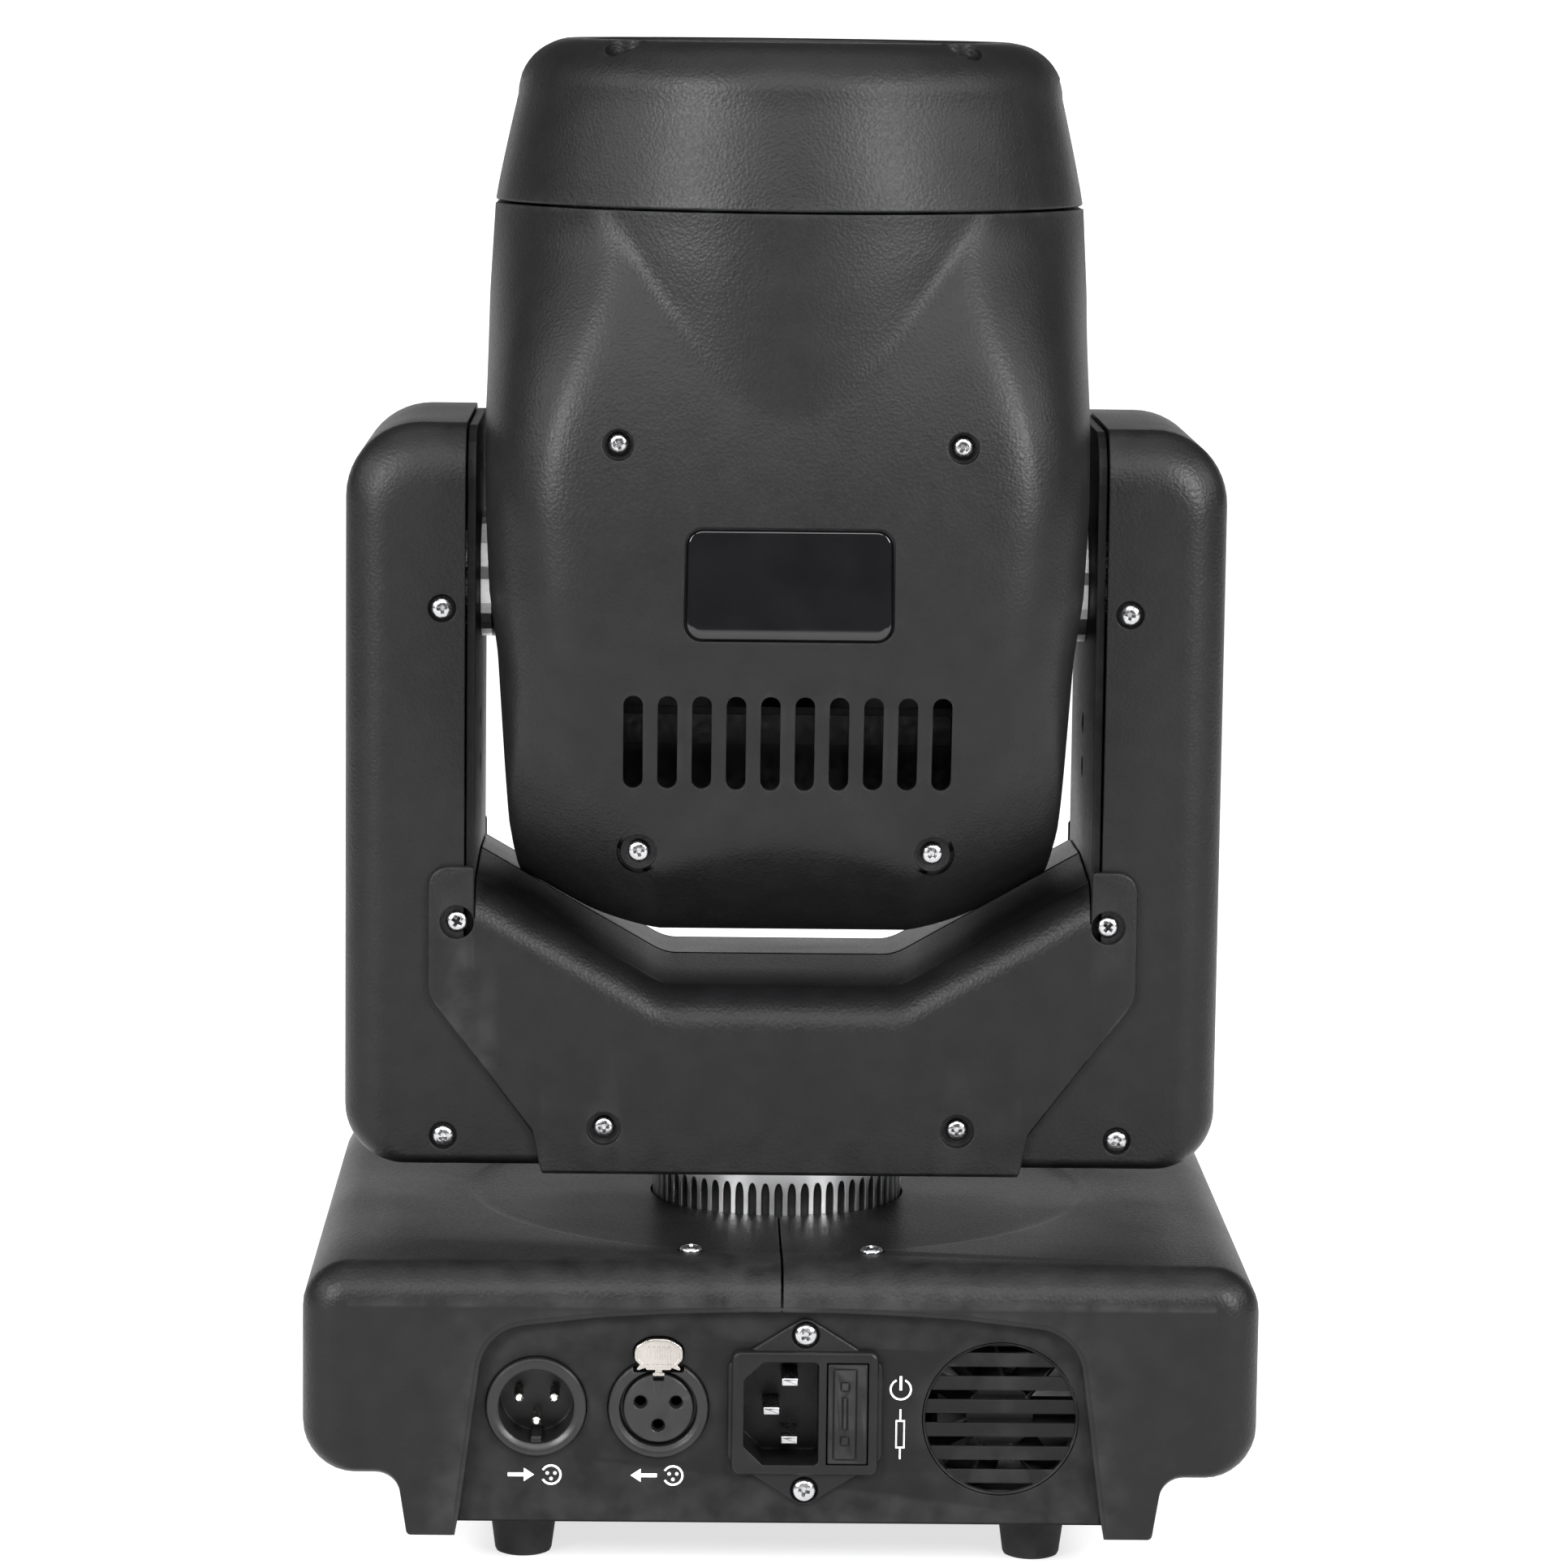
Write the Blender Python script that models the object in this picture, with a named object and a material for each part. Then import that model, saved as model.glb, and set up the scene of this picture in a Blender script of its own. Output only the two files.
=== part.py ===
"""Moving head light: base, yoke and head as separate named pieces.

Metres, +Z up, connector side facing -Y, origin on the floor under the pan axis.
The helpers below take millimetres.
"""
import math

import bmesh
import bpy
from mathutils import Matrix

MM = 0.001
GAP = 0.3  # clearance left between neighbouring pieces

# Driving sizes, mm
BASE_HALF_W, BASE_HALF_D = 112.7, 95.0
BASE_TOP, SIDE_BOTTOM, LIP_BOTTOM = 75.5, 25.0, 11.3
WALL = 2.5
PANEL_FRONT, PANEL_BACK = 91.6, 90.0
TILT_Z = 229.0
ARM_IN, ARM_OUT, ARM_TOP, ARM_BOTTOM, ARM_HALF_D = 76.9, 106.0, 268.6, 88.0, 42.5
PLATE_IN, PLATE_OUT = 74.5, 76.5
CAP_Z, HEAD_TOP = 321.0, 360.0
HEAD_WALL = 2.4
STRIP_Y = 20.0  # half depth of the flat side strip between the two head covers
HEAD_WIDTHS = ((140, 60.5), (165, 65.3), (173.5, 66.6), (186, 67.6), (214, 69.5),
               (229, 72.5), (270, 72.8), (300, 72.0), (321, 70.8))

for obj in list(bpy.data.objects):
    bpy.data.objects.remove(obj, do_unlink=True)

PARTS = bpy.data.collections.new("moving_head_light")
CUTTERS = bpy.data.collections.new("cutters")
CUTTERS.hide_render = True
for group in (PARTS, CUTTERS):
    bpy.context.scene.collection.children.link(group)


def material(name, rgb, metallic, roughness, transmission=0.0):
    made = bpy.data.materials.new(name)
    made.use_nodes = True
    shader = made.node_tree.nodes["Principled BSDF"]
    shader.inputs["Base Color"].default_value = (*rgb, 1)
    shader.inputs["Metallic"].default_value = metallic
    shader.inputs["Roughness"].default_value = roughness
    shader.inputs["Transmission Weight"].default_value = transmission
    made.diffuse_color = (*rgb, 1)
    return made


BLACK = material("black_abs", (0.03, 0.03, 0.033), 0, 0.5)
DARK = material("dark_steel", (0.05, 0.05, 0.055), 0.3, 0.5)
GLOSS = material("gloss_black", (0.01, 0.01, 0.012), 0, 0.1)
RUBBER = material("rubber", (0.02, 0.02, 0.02), 0, 0.9)
ALU = material("aluminium", (0.75, 0.75, 0.77), 1, 0.3)
STEEL = material("steel", (0.55, 0.55, 0.56), 1, 0.35)
GREEN = material("circuit_board", (0.02, 0.12, 0.05), 0, 0.5)
GLASS = material("glass", (0.9, 0.95, 1.0), 0, 0.02, 1.0)
YELLOW = material("wheel_glass", (0.8, 0.4, 0.1), 0.2, 0.2)
WHITE = material("led_white", (0.85, 0.85, 0.8), 0, 0.4)


# ---------------------------------------------------------------- helpers
def finish(bm):
    bmesh.ops.recalc_face_normals(bm, faces=bm.faces)
    return bm


def add(name, bm, look=None, group=None):
    bmesh.ops.scale(bm, vec=(MM, MM, MM), verts=bm.verts)
    mesh = bpy.data.meshes.new(name)
    bm.to_mesh(mesh)
    bm.free()
    made = bpy.data.objects.new(name, mesh)
    (group or PARTS).objects.link(made)
    if look:
        mesh.materials.append(look)
    return made


def boolean(obj, bm, kind):
    tool = add(f"{obj.name}_tool_{len(obj.modifiers)}", bm, None, CUTTERS)
    tool.display_type = "WIRE"
    tool.hide_render = True
    step = obj.modifiers.new(kind.lower(), "BOOLEAN")
    step.operation = kind
    step.solver = "EXACT"
    step.object = tool


def cut(obj, *shapes):
    for bm in shapes:
        boolean(obj, bm, "DIFFERENCE")


def join(obj, *shapes):
    for bm in shapes:
        boolean(obj, bm, "UNION")


def keep(obj, *shapes):
    for bm in shapes:
        boolean(obj, bm, "INTERSECT")


def soften(corners, steps=4):
    """The outline through corners (a, b, radius) with each radius rounded off."""
    out = []
    count = len(corners)
    for i, (a, b, r) in enumerate(corners):
        if r <= 0:
            out.append((a, b))
            continue
        pa, pb = corners[i - 1][:2]
        na, nb = corners[(i + 1) % count][:2]
        ua, ub = pa - a, pb - b
        va, vb = na - a, nb - b
        lu, lv = math.hypot(ua, ub), math.hypot(va, vb)
        ua, ub, va, vb = ua / lu, ub / lu, va / lv, vb / lv
        half = math.acos(max(-1, min(1, ua * va + ub * vb))) / 2
        reach = r / math.tan(half)
        ca, cb = ua + va, ub + vb
        size = math.hypot(ca, cb)
        ca, cb = a + ca / size * r / math.sin(half), b + cb / size * r / math.sin(half)
        start = math.atan2(b + ub * reach - cb, a + ua * reach - ca)
        end = math.atan2(b + vb * reach - cb, a + va * reach - ca)
        turn = (end - start + math.pi) % (2 * math.pi) - math.pi
        for k in range(steps + 1):
            t = start + turn * k / steps
            out.append((ca + r * math.cos(t), cb + r * math.sin(t)))
    return out


def mirror(outline):
    return [(-a, b) for a, b in reversed(outline)]


def circle(r, count=32, a=0.0, b=0.0):
    return [(a + r * math.cos(2 * math.pi * k / count),
             b + r * math.sin(2 * math.pi * k / count)) for k in range(count)]


def rect(a0, a1, b0, b1, r=0.0, steps=3):
    return soften([(a0, b0, r), (a1, b0, r), (a1, b1, r), (a0, b1, r)], steps)


def placed(a, b, t, axis):
    return {"x": (t, a, b), "y": (a, t, b), "z": (a, b, t)}[axis]


def prism(outline, lo, hi, axis="z"):
    """The outline, given in the two other axes in X, Y, Z order, run from lo to hi."""
    bm = bmesh.new()
    low = [bm.verts.new(placed(a, b, lo, axis)) for a, b in outline]
    high = [bm.verts.new(placed(a, b, hi, axis)) for a, b in outline]
    bm.faces.new(low)
    bm.faces.new(high)
    for i in range(len(outline)):
        j = (i + 1) % len(outline)
        bm.faces.new((low[i], low[j], high[j], high[i]))
    return finish(bm)


def box(x0, x1, y0, y1, z0, z1):
    return prism([(x0, y0), (x1, y0), (x1, y1), (x0, y1)], z0, z1)


def rod(r, lo, hi, axis="z", a=0.0, b=0.0, count=24):
    return prism(circle(r, count, a, b), lo, hi, axis)


def tube(outer, inner, lo, hi, axis="z"):
    """A closed ring between two outlines that hold the same number of points."""
    bm = bmesh.new()
    loops = [[bm.verts.new(placed(a, b, t, axis)) for a, b in line]
             for line, t in ((outer, lo), (outer, hi), (inner, hi), (inner, lo))]
    count = len(outer)
    for k in range(4):
        here, after = loops[k], loops[(k + 1) % 4]
        for i in range(count):
            j = (i + 1) % count
            bm.faces.new((here[i], here[j], after[j], after[i]))
    return finish(bm)


def lathe(profile, count=32, axis="z", a=0.0, b=0.0, closed=False):
    """Turns (radius, height) points about an axis. A radius of 0 is one point."""
    bm = bmesh.new()
    rings = []
    for r, t in profile:
        if r <= 0:
            rings.append([bm.verts.new(placed(a, b, t, axis))] * count)
        else:
            rings.append([bm.verts.new(placed(p, q, t, axis))
                          for p, q in circle(r, count, a, b)])
    pairs = list(zip(rings, rings[1:]))
    if closed:
        pairs.append((rings[-1], rings[0]))
    for here, after in pairs:
        for i in range(count):
            j = (i + 1) % count
            corners = []
            for v in (here[i], here[j], after[j], after[i]):
                if v not in corners:
                    corners.append(v)
            if len(corners) > 2:
                bm.faces.new(corners)
    return finish(bm)


def loft(rings, closed_rows=False):
    """Skins closed rings of equal count; ends are capped unless the rows close up."""
    bm = bmesh.new()
    loops = [[bm.verts.new(p) for p in ring] for ring in rings]
    count = len(rings[0])
    pairs = list(zip(loops, loops[1:]))
    if closed_rows:
        pairs.append((loops[-1], loops[0]))
    else:
        bm.faces.new(loops[0])
        bm.faces.new(loops[-1])
    for here, after in pairs:
        for i in range(count):
            j = (i + 1) % count
            bm.faces.new((here[i], here[j], after[j], after[i]))
    return finish(bm)


def sheet(outer, inner):
    """A closed skin from two grids of points, joined round their rims."""
    bm = bmesh.new()
    grids = [[[bm.verts.new(p) for p in row] for row in grid] for grid in (outer, inner)]
    rows, cols = len(outer), len(outer[0])
    for grid in grids:
        for i in range(rows - 1):
            for j in range(cols - 1):
                bm.faces.new((grid[i][j], grid[i][j + 1], grid[i + 1][j + 1],
                              grid[i + 1][j]))
    rim = [(0, j) for j in range(cols - 1)] + [(i, cols - 1) for i in range(rows - 1)]
    rim += [(rows - 1, j) for j in range(cols - 1, 0, -1)]
    rim += [(i, 0) for i in range(rows - 1, 0, -1)]
    first, second = grids
    for k, (i, j) in enumerate(rim):
        m, n = rim[(k + 1) % len(rim)]
        bm.faces.new((first[i][j], first[m][n], second[m][n], second[i][j]))
    bmesh.ops.triangulate(bm, faces=bm.faces)
    return finish(bm)


SQUARE_TOOTH = ((0.0, 0), (0.42, 0), (0.5, 1), (0.92, 1))
PLAIN_TOOTH = ((0.0, 0), (0.5, 1))  # few faces, for the large pulleys


def toothed(tip, root, teeth, a=0.0, b=0.0, shape=SQUARE_TOOTH):
    """An outline of belt teeth, each with its valley and its crest."""
    out = []
    for k in range(teeth):
        for share, high in shape:
            r = root + (tip - root) * high
            t = 2 * math.pi * (k + share) / teeth
            out.append((a + r * math.cos(t), b + r * math.sin(t)))
    return out


def belt_loop(r1, a1, b1, r2, a2, b2, steps=10):
    """The outline of a belt round two pulleys, from outside tangents."""
    gap = math.hypot(a2 - a1, b2 - b1)
    heading = math.atan2(b2 - b1, a2 - a1)
    lean = math.acos((r1 - r2) / gap)
    out = []
    for k in range(2 * steps + 1):
        t = heading + lean + (2 * math.pi - 2 * lean) * k / (2 * steps)
        out.append((a1 + r1 * math.cos(t), b1 + r1 * math.sin(t)))
    for k in range(steps + 1):
        t = heading - lean + 2 * lean * k / steps
        out.append((a2 + r2 * math.cos(t), b2 + r2 * math.sin(t)))
    return out


def pivot(obj, x, y, z):
    """Puts the object's origin on its joint axis without moving its shape."""
    obj.data.transform(Matrix.Translation((-x * MM, -y * MM, -z * MM)))
    obj.location = (x * MM, y * MM, z * MM)


# ---------------------------------------------------------------- base
def base_section(inset, side=1, low=LIP_BOTTOM, seam=0.15, top=None, wide=None):
    top, wide = top or BASE_TOP - inset, wide or BASE_HALF_W - inset
    line = soften([
        (seam, top, 0),
        (wide, top, 11 - inset),
        (wide, SIDE_BOTTOM + inset, 12 - inset),
        (90.2 - inset, SIDE_BOTTOM + inset, 6 + inset),
        (87.7 - inset, min(LIP_BOTTOM, low - 0.01), 0.8 if inset == 0 else 0),
        (seam, low - 0.01, 0)], 4)
    return line if side > 0 else mirror(line)


def opening_outline():
    half = [(76.5, 13.8), (72.5, 52), (69.5, 57.5), (61, 61.5), (41, 64.6), (20, 66.2)]
    return half + [(0, 66.5)] + mirror(half)


def base_shell(name, side):
    shell = add(name, prism(base_section(0, side), -BASE_HALF_D, BASE_HALF_D, "y"), BLACK)
    keep(shell, prism(soften([(-95, 5, 0), (95, 5, 0), (95, BASE_TOP, 11),
                              (-95, BASE_TOP, 11)], 4), -120, 120, "x"))
    keep(shell, prism(rect(-BASE_HALF_W, BASE_HALF_W, -BASE_HALF_D, BASE_HALF_D, 8, 3),
                      0, 90))
    # two cores, so that the wall stays whole behind the rounded edges
    cut(shell, prism(base_section(WALL, side, 2, -4), -88, 88, "y"))
    cut(shell, prism(base_section(WALL, side, 2, -4, BASE_TOP - 6, BASE_HALF_W - 4),
                     -92, 92, "y"))
    cut(shell, prism(opening_outline(), -97, -91, "y"), prism(opening_outline(), 91, 97, "y"))
    cut(shell, lathe([(0, 60), (32.4, 60), (32.4, BASE_TOP - 1), (76, BASE_TOP - 1),
                      (76, 80), (0, 80)], 48))
    return shell


base_shell("base_shell_left", -1)
base_shell("base_shell_right", 1)

plate = add("base_plate", prism(rect(-84.6, 84.6, -89.5, 89.5, 5), 13.3, 15.3), DARK)
for y in (-53, 53):
    join(plate, rod(10, 12.5, 14, "z", 0, y))

for tag_x, sx in (("left", -1), ("right", 1)):
    for tag_y, sy in (("rear", -1), ("front", 1)):
        add(f"foot_{tag_y}_{tag_x}",
            lathe([(0, 0), (6.2, 0), (6.75, 0.6), (8.35, 11.8), (8.0, 13), (0, 13)], 24,
                  "z", sx * 61, sy * 66), RUBBER)

PANEL = [(-75.6, 14.2), (75.6, 14.2), (75.6, 52), (71, 63), (45, 67.6), (0, 69.5),
         (-45, 67.6), (-71, 63), (-75.6, 52)]
XLR_IN, XLR_OUT = (-57.5, 41.8), (-28.8, 41.6)
INLET = (5.7, 41.0)
FAN = (51.8, 39.4)

panel = add("rear_panel", prism(PANEL, -PANEL_FRONT, -PANEL_BACK, "y"), DARK)
for x, z in (XLR_IN, XLR_OUT):
    cut(panel, rod(12.0, -95, -85, "y", x, z, 32))
cut(panel, rod(18.35, -95, -85, "y", *FAN, 36))
cut(panel, box(-35.1, -22.5, -95, -85, 50.7, 59.2))
cut(panel, box(INLET[0] - 15.4, INLET[0] + 16.2, -95, -85, 26.4, 55.6))

socket = add("dmx_in_socket", lathe([(0, -70), (11.65, -70), (11.65, -93), (11.25, -93.4),
                                     (9, -93.4), (9, -79), (0, -79)], 32, "y", *XLR_IN), DARK)
for dx, dz in ((-4.2, 1.5), (4.2, 1.5), (0, -4.1)):
    join(socket, rod(1.2, -90.5, -78, "y", XLR_IN[0] + dx, XLR_IN[1] + dz, 10))

socket = add("dmx_out_socket", lathe([(0, -70), (11.65, -70), (11.65, -93), (11.25, -93.4),
                                      (9.1, -93.4), (9.1, -90.6), (8.25, -90.6),
                                      (8.25, -92.8), (0, -92.8)], 32, "y", *XLR_OUT), DARK)
for dx, dz in ((-4.2, 1.5), (4.2, 1.5), (0, -4.1)):
    cut(socket, rod(1.5, -95, -80, "y", XLR_OUT[0] + dx, XLR_OUT[1] + dz, 10))
cut(socket, box(XLR_OUT[0] - 6.1, XLR_OUT[0] + 6.1, -95, -88, 50.4, 55))

latch = add("dmx_out_latch", prism(rect(-34.5, -23.1, 51.0, 58.7, 2), -93.4, -91.9, "y"),
            STEEL)
join(latch, box(-30.8, -26.8, -92.2, -84, 54.6, 57.8))

inlet = add("power_inlet", prism([(-12.5, 29), (5.7, 18), (23.9, 29), (23.9, 53),
                                  (5.7, 64), (-12.5, 53)], -93.0, -91.9, "y"), BLACK)
join(inlet, box(-9.3, 21.5, -92.4, -66, 26.8, 55.2))
join(inlet, prism(rect(-11.4, 22.9, 26.2, 55.8, 1.5, 2), -94.7, -92.6, "y"))
cut(inlet, prism([(-4.7, 28.5), (9, 28.5), (9, 53.5), (-4.7, 53.5), (-8.7, 49.5),
                  (-8.7, 32.5)], -96, -79, "y"))
cut(inlet, box(10.7, 20.6, -96, -70.5, 28.7, 53.3))
for x, z in ((2.1, 48), (2.1, 34), (-2.2, 41)):
    join(inlet, box(x - 2, x + 2, -92, -78, z - 1, z + 1))

drawer = add("fuse_drawer", box(11, 20.3, -94.9, -71, 29, 53), BLACK)
cut(drawer, box(12.6, 25, -92.5, -73, 32, 50))
join(drawer, rod(2.4, -93, -72, "y", 16.4, 45, 10))

grille = add("fan_grille", rod(18.0, -PANEL_FRONT, -PANEL_BACK, "y", *FAN, 36), DARK)
for k in range(-3, 3):
    dz = (k + 0.5) * 5.6
    reach = math.sqrt(16.6 ** 2 - (abs(dz) + 1) ** 2)
    cut(grille, box(FAN[0] - reach, FAN[0] + reach, -95, -85, FAN[1] + dz - 1,
                    FAN[1] + dz + 1))


def fan_frame(name, half, bore, lo, hi, web, axis, a, b, hub):
    """A square fan frame whose struts are next to web, the inner end."""
    near, far = (web, web + 1.6) if web < (lo + hi) / 2 else (web - 1.6, web)
    frame = add(name, prism(rect(a - half, a + half, b - half, b + half, half * 0.12, 2),
                            lo, hi, axis), BLACK)
    cut(frame, rod(bore, lo - 1, hi + 1, axis, a, b, 36))
    join(frame, rod(hub, near, far, axis, a, b, 20))
    for turn in (0, 1):
        reach = bore + 0.6
        outline = ((-reach, -1.2), (reach, -1.2), (reach, 1.2), (-reach, 1.2))
        spin = math.radians(45 + 90 * turn)
        turned = [(a + p * math.cos(spin) - q * math.sin(spin),
                   b + p * math.sin(spin) + q * math.cos(spin)) for p, q in outline]
        join(frame, prism(turned, near, far, axis))
    return frame


def fan_rotor(name, tip, hub, lo, hi, axis, a, b, blades=7):
    rotor = add(name, rod(hub, lo, hi, axis, a, b, 24), BLACK)
    for k in range(blades):
        bm = prism([(hub - 1, -0.5), (tip, -0.5), (tip, 0.5), (hub - 1, 0.5)],
                   -(hi - lo) * 0.62, (hi - lo) * 0.62)
        bmesh.ops.rotate(bm, verts=bm.verts, matrix=Matrix.Rotation(math.radians(40), 3, "X"))
        bmesh.ops.rotate(bm, verts=bm.verts,
                         matrix=Matrix.Rotation(2 * math.pi * k / blades, 3, "Z"))
        if axis == "y":
            bmesh.ops.rotate(bm, verts=bm.verts, matrix=Matrix.Rotation(math.pi / 2, 3, "X"))
            bmesh.ops.translate(bm, verts=bm.verts, vec=(a, (lo + hi) / 2, b))
        else:
            bmesh.ops.translate(bm, verts=bm.verts, vec=(a, b, (lo + hi) / 2))
        join(rotor, bm)
    return rotor


fan_frame("base_fan_frame", 20, 19, -88.5, -78.5, -78.5, "y", *FAN, 8.5)
pivot(fan_rotor("base_fan_rotor", 18.2, 8, -87.6, -80.8, "y", *FAN), FAN[0], -84.2, FAN[1])

# front panel: display and menu buttons
DISPLAY = (-26.0, 42.0)
BUTTONS = (20.0, 33.0, 46.0, 59.0)
panel = add("front_panel", prism(PANEL, PANEL_BACK, PANEL_FRONT, "y"), DARK)
cut(panel, box(DISPLAY[0] - 25.5, DISPLAY[0] + 25.5, 85, 95, DISPLAY[1] - 13.5,
               DISPLAY[1] + 13.5))
for k, x in enumerate(BUTTONS):
    cut(panel, rod(4.6, 85, 95, "y", x, 42, 24))
    button = add(f"menu_button_{k + 1}", rod(4.2, 87.5, 93.6, "y", x, 42, 24), BLACK)
    join(button, rod(5.4, 86.4, 88.2, "y", x, 42, 24))
screen = add("display", prism(rect(DISPLAY[0] - 25.1, DISPLAY[0] + 25.1, DISPLAY[1] - 13.1,
                                   DISPLAY[1] + 13.1, 0.8, 2), 87, 91.3, "y"), GLOSS)
join(screen, box(DISPLAY[0] - 28, DISPLAY[0] + 28, 85, 89.6, DISPLAY[1] - 17,
                 DISPLAY[1] + 17))

board = add("main_board", box(-62, 72, 81.6, 83.2, 18, 66), GREEN)
for x0, x1, z0, z1, high in ((-40, -24, 30, 46, 2.4), (4, 12, 24, 40, 6), (30, 44, 50, 60, 8),
                             (52, 66, 24, 36, 7)):
    join(board, box(x0, x1, 83.0 - high - 1.4, 82, z0, z1))

supply = add("power_supply", prism(rect(36, 74, -68, 66, 2, 2), 15.9, 50), STEEL)
for k in range(6):
    cut(supply, box(42, 68, -56 + k * 20, -50 + k * 20, 46, 52))

# pan drive
PAN_MOTOR = (-46.0, 40.0)
PAN_TEETH, PAN_PINION_TEETH = 60, 16
PAN_R = 31.0
PAN_PINION_R = PAN_R * PAN_PINION_TEETH / PAN_TEETH


def motor(name, half, lo, hi, axis, a, b, hole, deep, boss=None):
    """A square stepper body. The hole for its shaft opens at the hi end."""
    body = add(name, prism(rect(a - half, a + half, b - half, b + half, half * 0.2, 1),
                           lo, hi, axis), DARK)
    if boss:
        join(body, rod(boss, min(hi, hi + (2 if hi > lo else -2)) - 0.2,
                       max(hi, hi + (2 if hi > lo else -2)) + 0.0, axis, a, b, 20))
    tip = hi + (4 if hi > lo else -4)
    cut(body, rod(hole, min(tip, tip - math.copysign(deep + 4, hi - lo)),
                  max(tip, tip - math.copysign(deep + 4, hi - lo)), axis, a, b, 16))
    return body


motor("pan_motor", 21, 16, 50, "z", *PAN_MOTOR, 2.9, 16, 11)
pinion = add("pan_pinion", prism(toothed(PAN_PINION_R, PAN_PINION_R - 1.2, PAN_PINION_TEETH,
                                         *PAN_MOTOR), 56, 69), STEEL)
join(pinion, rod(2.5, 36, 70.5, "z", *PAN_MOTOR, 16))
pivot(pinion, *PAN_MOTOR, 62)
add("pan_belt", tube(belt_loop(PAN_R + 1.9, 0, 0, PAN_PINION_R + 1.9, *PAN_MOTOR),
                     belt_loop(PAN_R + 0.4, 0, 0, PAN_PINION_R + 0.4, *PAN_MOTOR),
                     58, 67), RUBBER)
add("pan_bearing", lathe([(9.1, 15.7), (24, 15.7), (24, 19), (15, 20.5), (15, 56.3),
                          (9.1, 56.3)], 32, "z", closed=True), STEEL)

# ---------------------------------------------------------------- yoke
hub = add("pan_hub", prism(toothed(PAN_R, PAN_R - 1.3, PAN_TEETH, shape=PLAIN_TOOTH),
                             57, 82.5), ALU)
join(hub, lathe([(6, 22), (8.7, 22), (8.7, 57.5), (PAN_R - 1.6, 57.5), (PAN_R - 1.6, 82),
                 (PAN_R, 82.2), (PAN_R, 90), (40, 90), (40, 91.7), (6, 91.7)], 36, "z",
                closed=True))
cut(hub, rod(6, 20, 95, "z", 0, 0, 36))

frame = add("yoke_frame", prism([(-PLATE_OUT, 267.6), (-PLATE_OUT, 92), (PLATE_OUT, 92),
                                 (PLATE_OUT, 267.6), (PLATE_IN, 267.6), (PLATE_IN, 95),
                                 (-PLATE_IN, 95), (-PLATE_IN, 267.6)], -39.6, 39.6, "y"), DARK)
keep(frame, prism(soften([(-39.6, 80, 0), (39.6, 80, 0), (39.6, 267.6, 12),
                          (-39.6, 267.6, 12)], 4), -120, 120, "x"))
cut(frame, rod(9.3, -90, 90, "x", 0, TILT_Z, 24))
cut(frame, rod(14, 90, 100, "z", 0, 0, 24))
for z in (256.6, 193.3, 182.3):
    cut(frame, rod(2.7, -90, 90, "x", 0, z, 12))


def arm_cover(name, side):
    line = soften([(ARM_IN, ARM_TOP, 0), (ARM_OUT, ARM_TOP, 17.5), (ARM_OUT, ARM_BOTTOM, 14),
                   (56, ARM_BOTTOM, 0), (57, 96, 3), (ARM_IN, 124, 3)], 5)
    if side < 0:
        line = mirror(line)
    cover = add(name, prism(line, -ARM_HALF_D, ARM_HALF_D, "y"), BLACK)
    deep = ARM_HALF_D
    keep(cover, prism(soften([(-deep, 80, 0), (deep, 80, 0), (deep, ARM_TOP, 12),
                              (-deep, ARM_TOP, 12)], 4), -120, 120, "x"))
    flat = soften([(40, -deep, 0), (ARM_OUT, -deep, 9), (ARM_OUT, deep, 9), (40, deep, 0)], 4)
    keep(cover, prism(flat if side > 0 else mirror(flat), 60, 300))
    for wide, top, reach in ((ARM_OUT - WALL, ARM_TOP - WALL, deep - 6.5),
                             (ARM_OUT - 5, ARM_TOP - 7, deep - WALL)):
        hollow = soften([(40, top, 0), (wide, top, 13), (wide, ARM_BOTTOM + WALL, 11.5),
                         (40, ARM_BOTTOM + WALL, 0)], 5)
        cut(cover, prism(hollow if side > 0 else mirror(hollow), -reach, reach, "y"))
    return cover


arm_cover("arm_cover_left", -1)
arm_cover("arm_cover_right", 1)


def rim_z(x):
    return 134 + 26 / 45.6 * max(min(abs(x), 74.1) - 28.5, 0)


def saddle_bottom(x):
    x = abs(x)
    if x <= 58:
        return 87.5
    if x <= 60:
        return 87.5 + (x - 58) * 5
    return 97.5 + (x - 60) * 33.5 / 25.5


def saddle(name, side):
    rings = []
    for x in (-74.1, -67, -60, -58, -48, -38, -28.5, -14, 14, 28.5, 38, 48, 58, 60, 67, 74.1):
        top, low = rim_z(x), saddle_bottom(x)
        outer = [(-44.5, low)]
        inner = [(-42.8, low)]
        for k in range(5):
            t = math.pi / 2 * k / 4
            outer.append((-32.5 - 12 * math.cos(t), top - 12 + 12 * math.sin(t)))
            inner.append((-32.5 - 10.3 * math.cos(t), top - 12 + 9.8 * math.sin(t)))
        outer.append((-0.2, top))
        inner.append((-0.2, top - 2.2))
        rings.append([(x, -side * y, z) for y, z in outer + inner[::-1]])
    cover = add(name, loft(rings), BLACK)
    for sx in (-1, 1):
        ear = soften([(73.6, 115, 0), (85.5, 131, 6), (85.5, 162.5, 5), (74.3, 162.5, 1),
                      (74.3, 149, 0), (73.6, 149, 0)], 3)
        near, far = sorted((side * 44.5, side * 42.8))
        join(cover, prism(ear if sx > 0 else mirror(ear), near, far, "y"))
    floor = rect(-54.5, 54.5, *sorted((side * 44.2, side * 0.2)))
    join(cover, prism(floor, 87.5, 89.5))
    cut(cover, rod(32, 80, 95, "z", 0, 0, 40))
    return cover


saddle("yoke_cover_rear", -1)
saddle("yoke_cover_front", 1)

# tilt drive, in the left arm
TILT_MOTOR_Z = 150.0
TILT_TEETH, TILT_PINION_TEETH = 48, 16
TILT_R = 22.9
TILT_PINION_R = TILT_R * TILT_PINION_TEETH / TILT_TEETH
BELT_X = (-101.0, -95.0)

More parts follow.
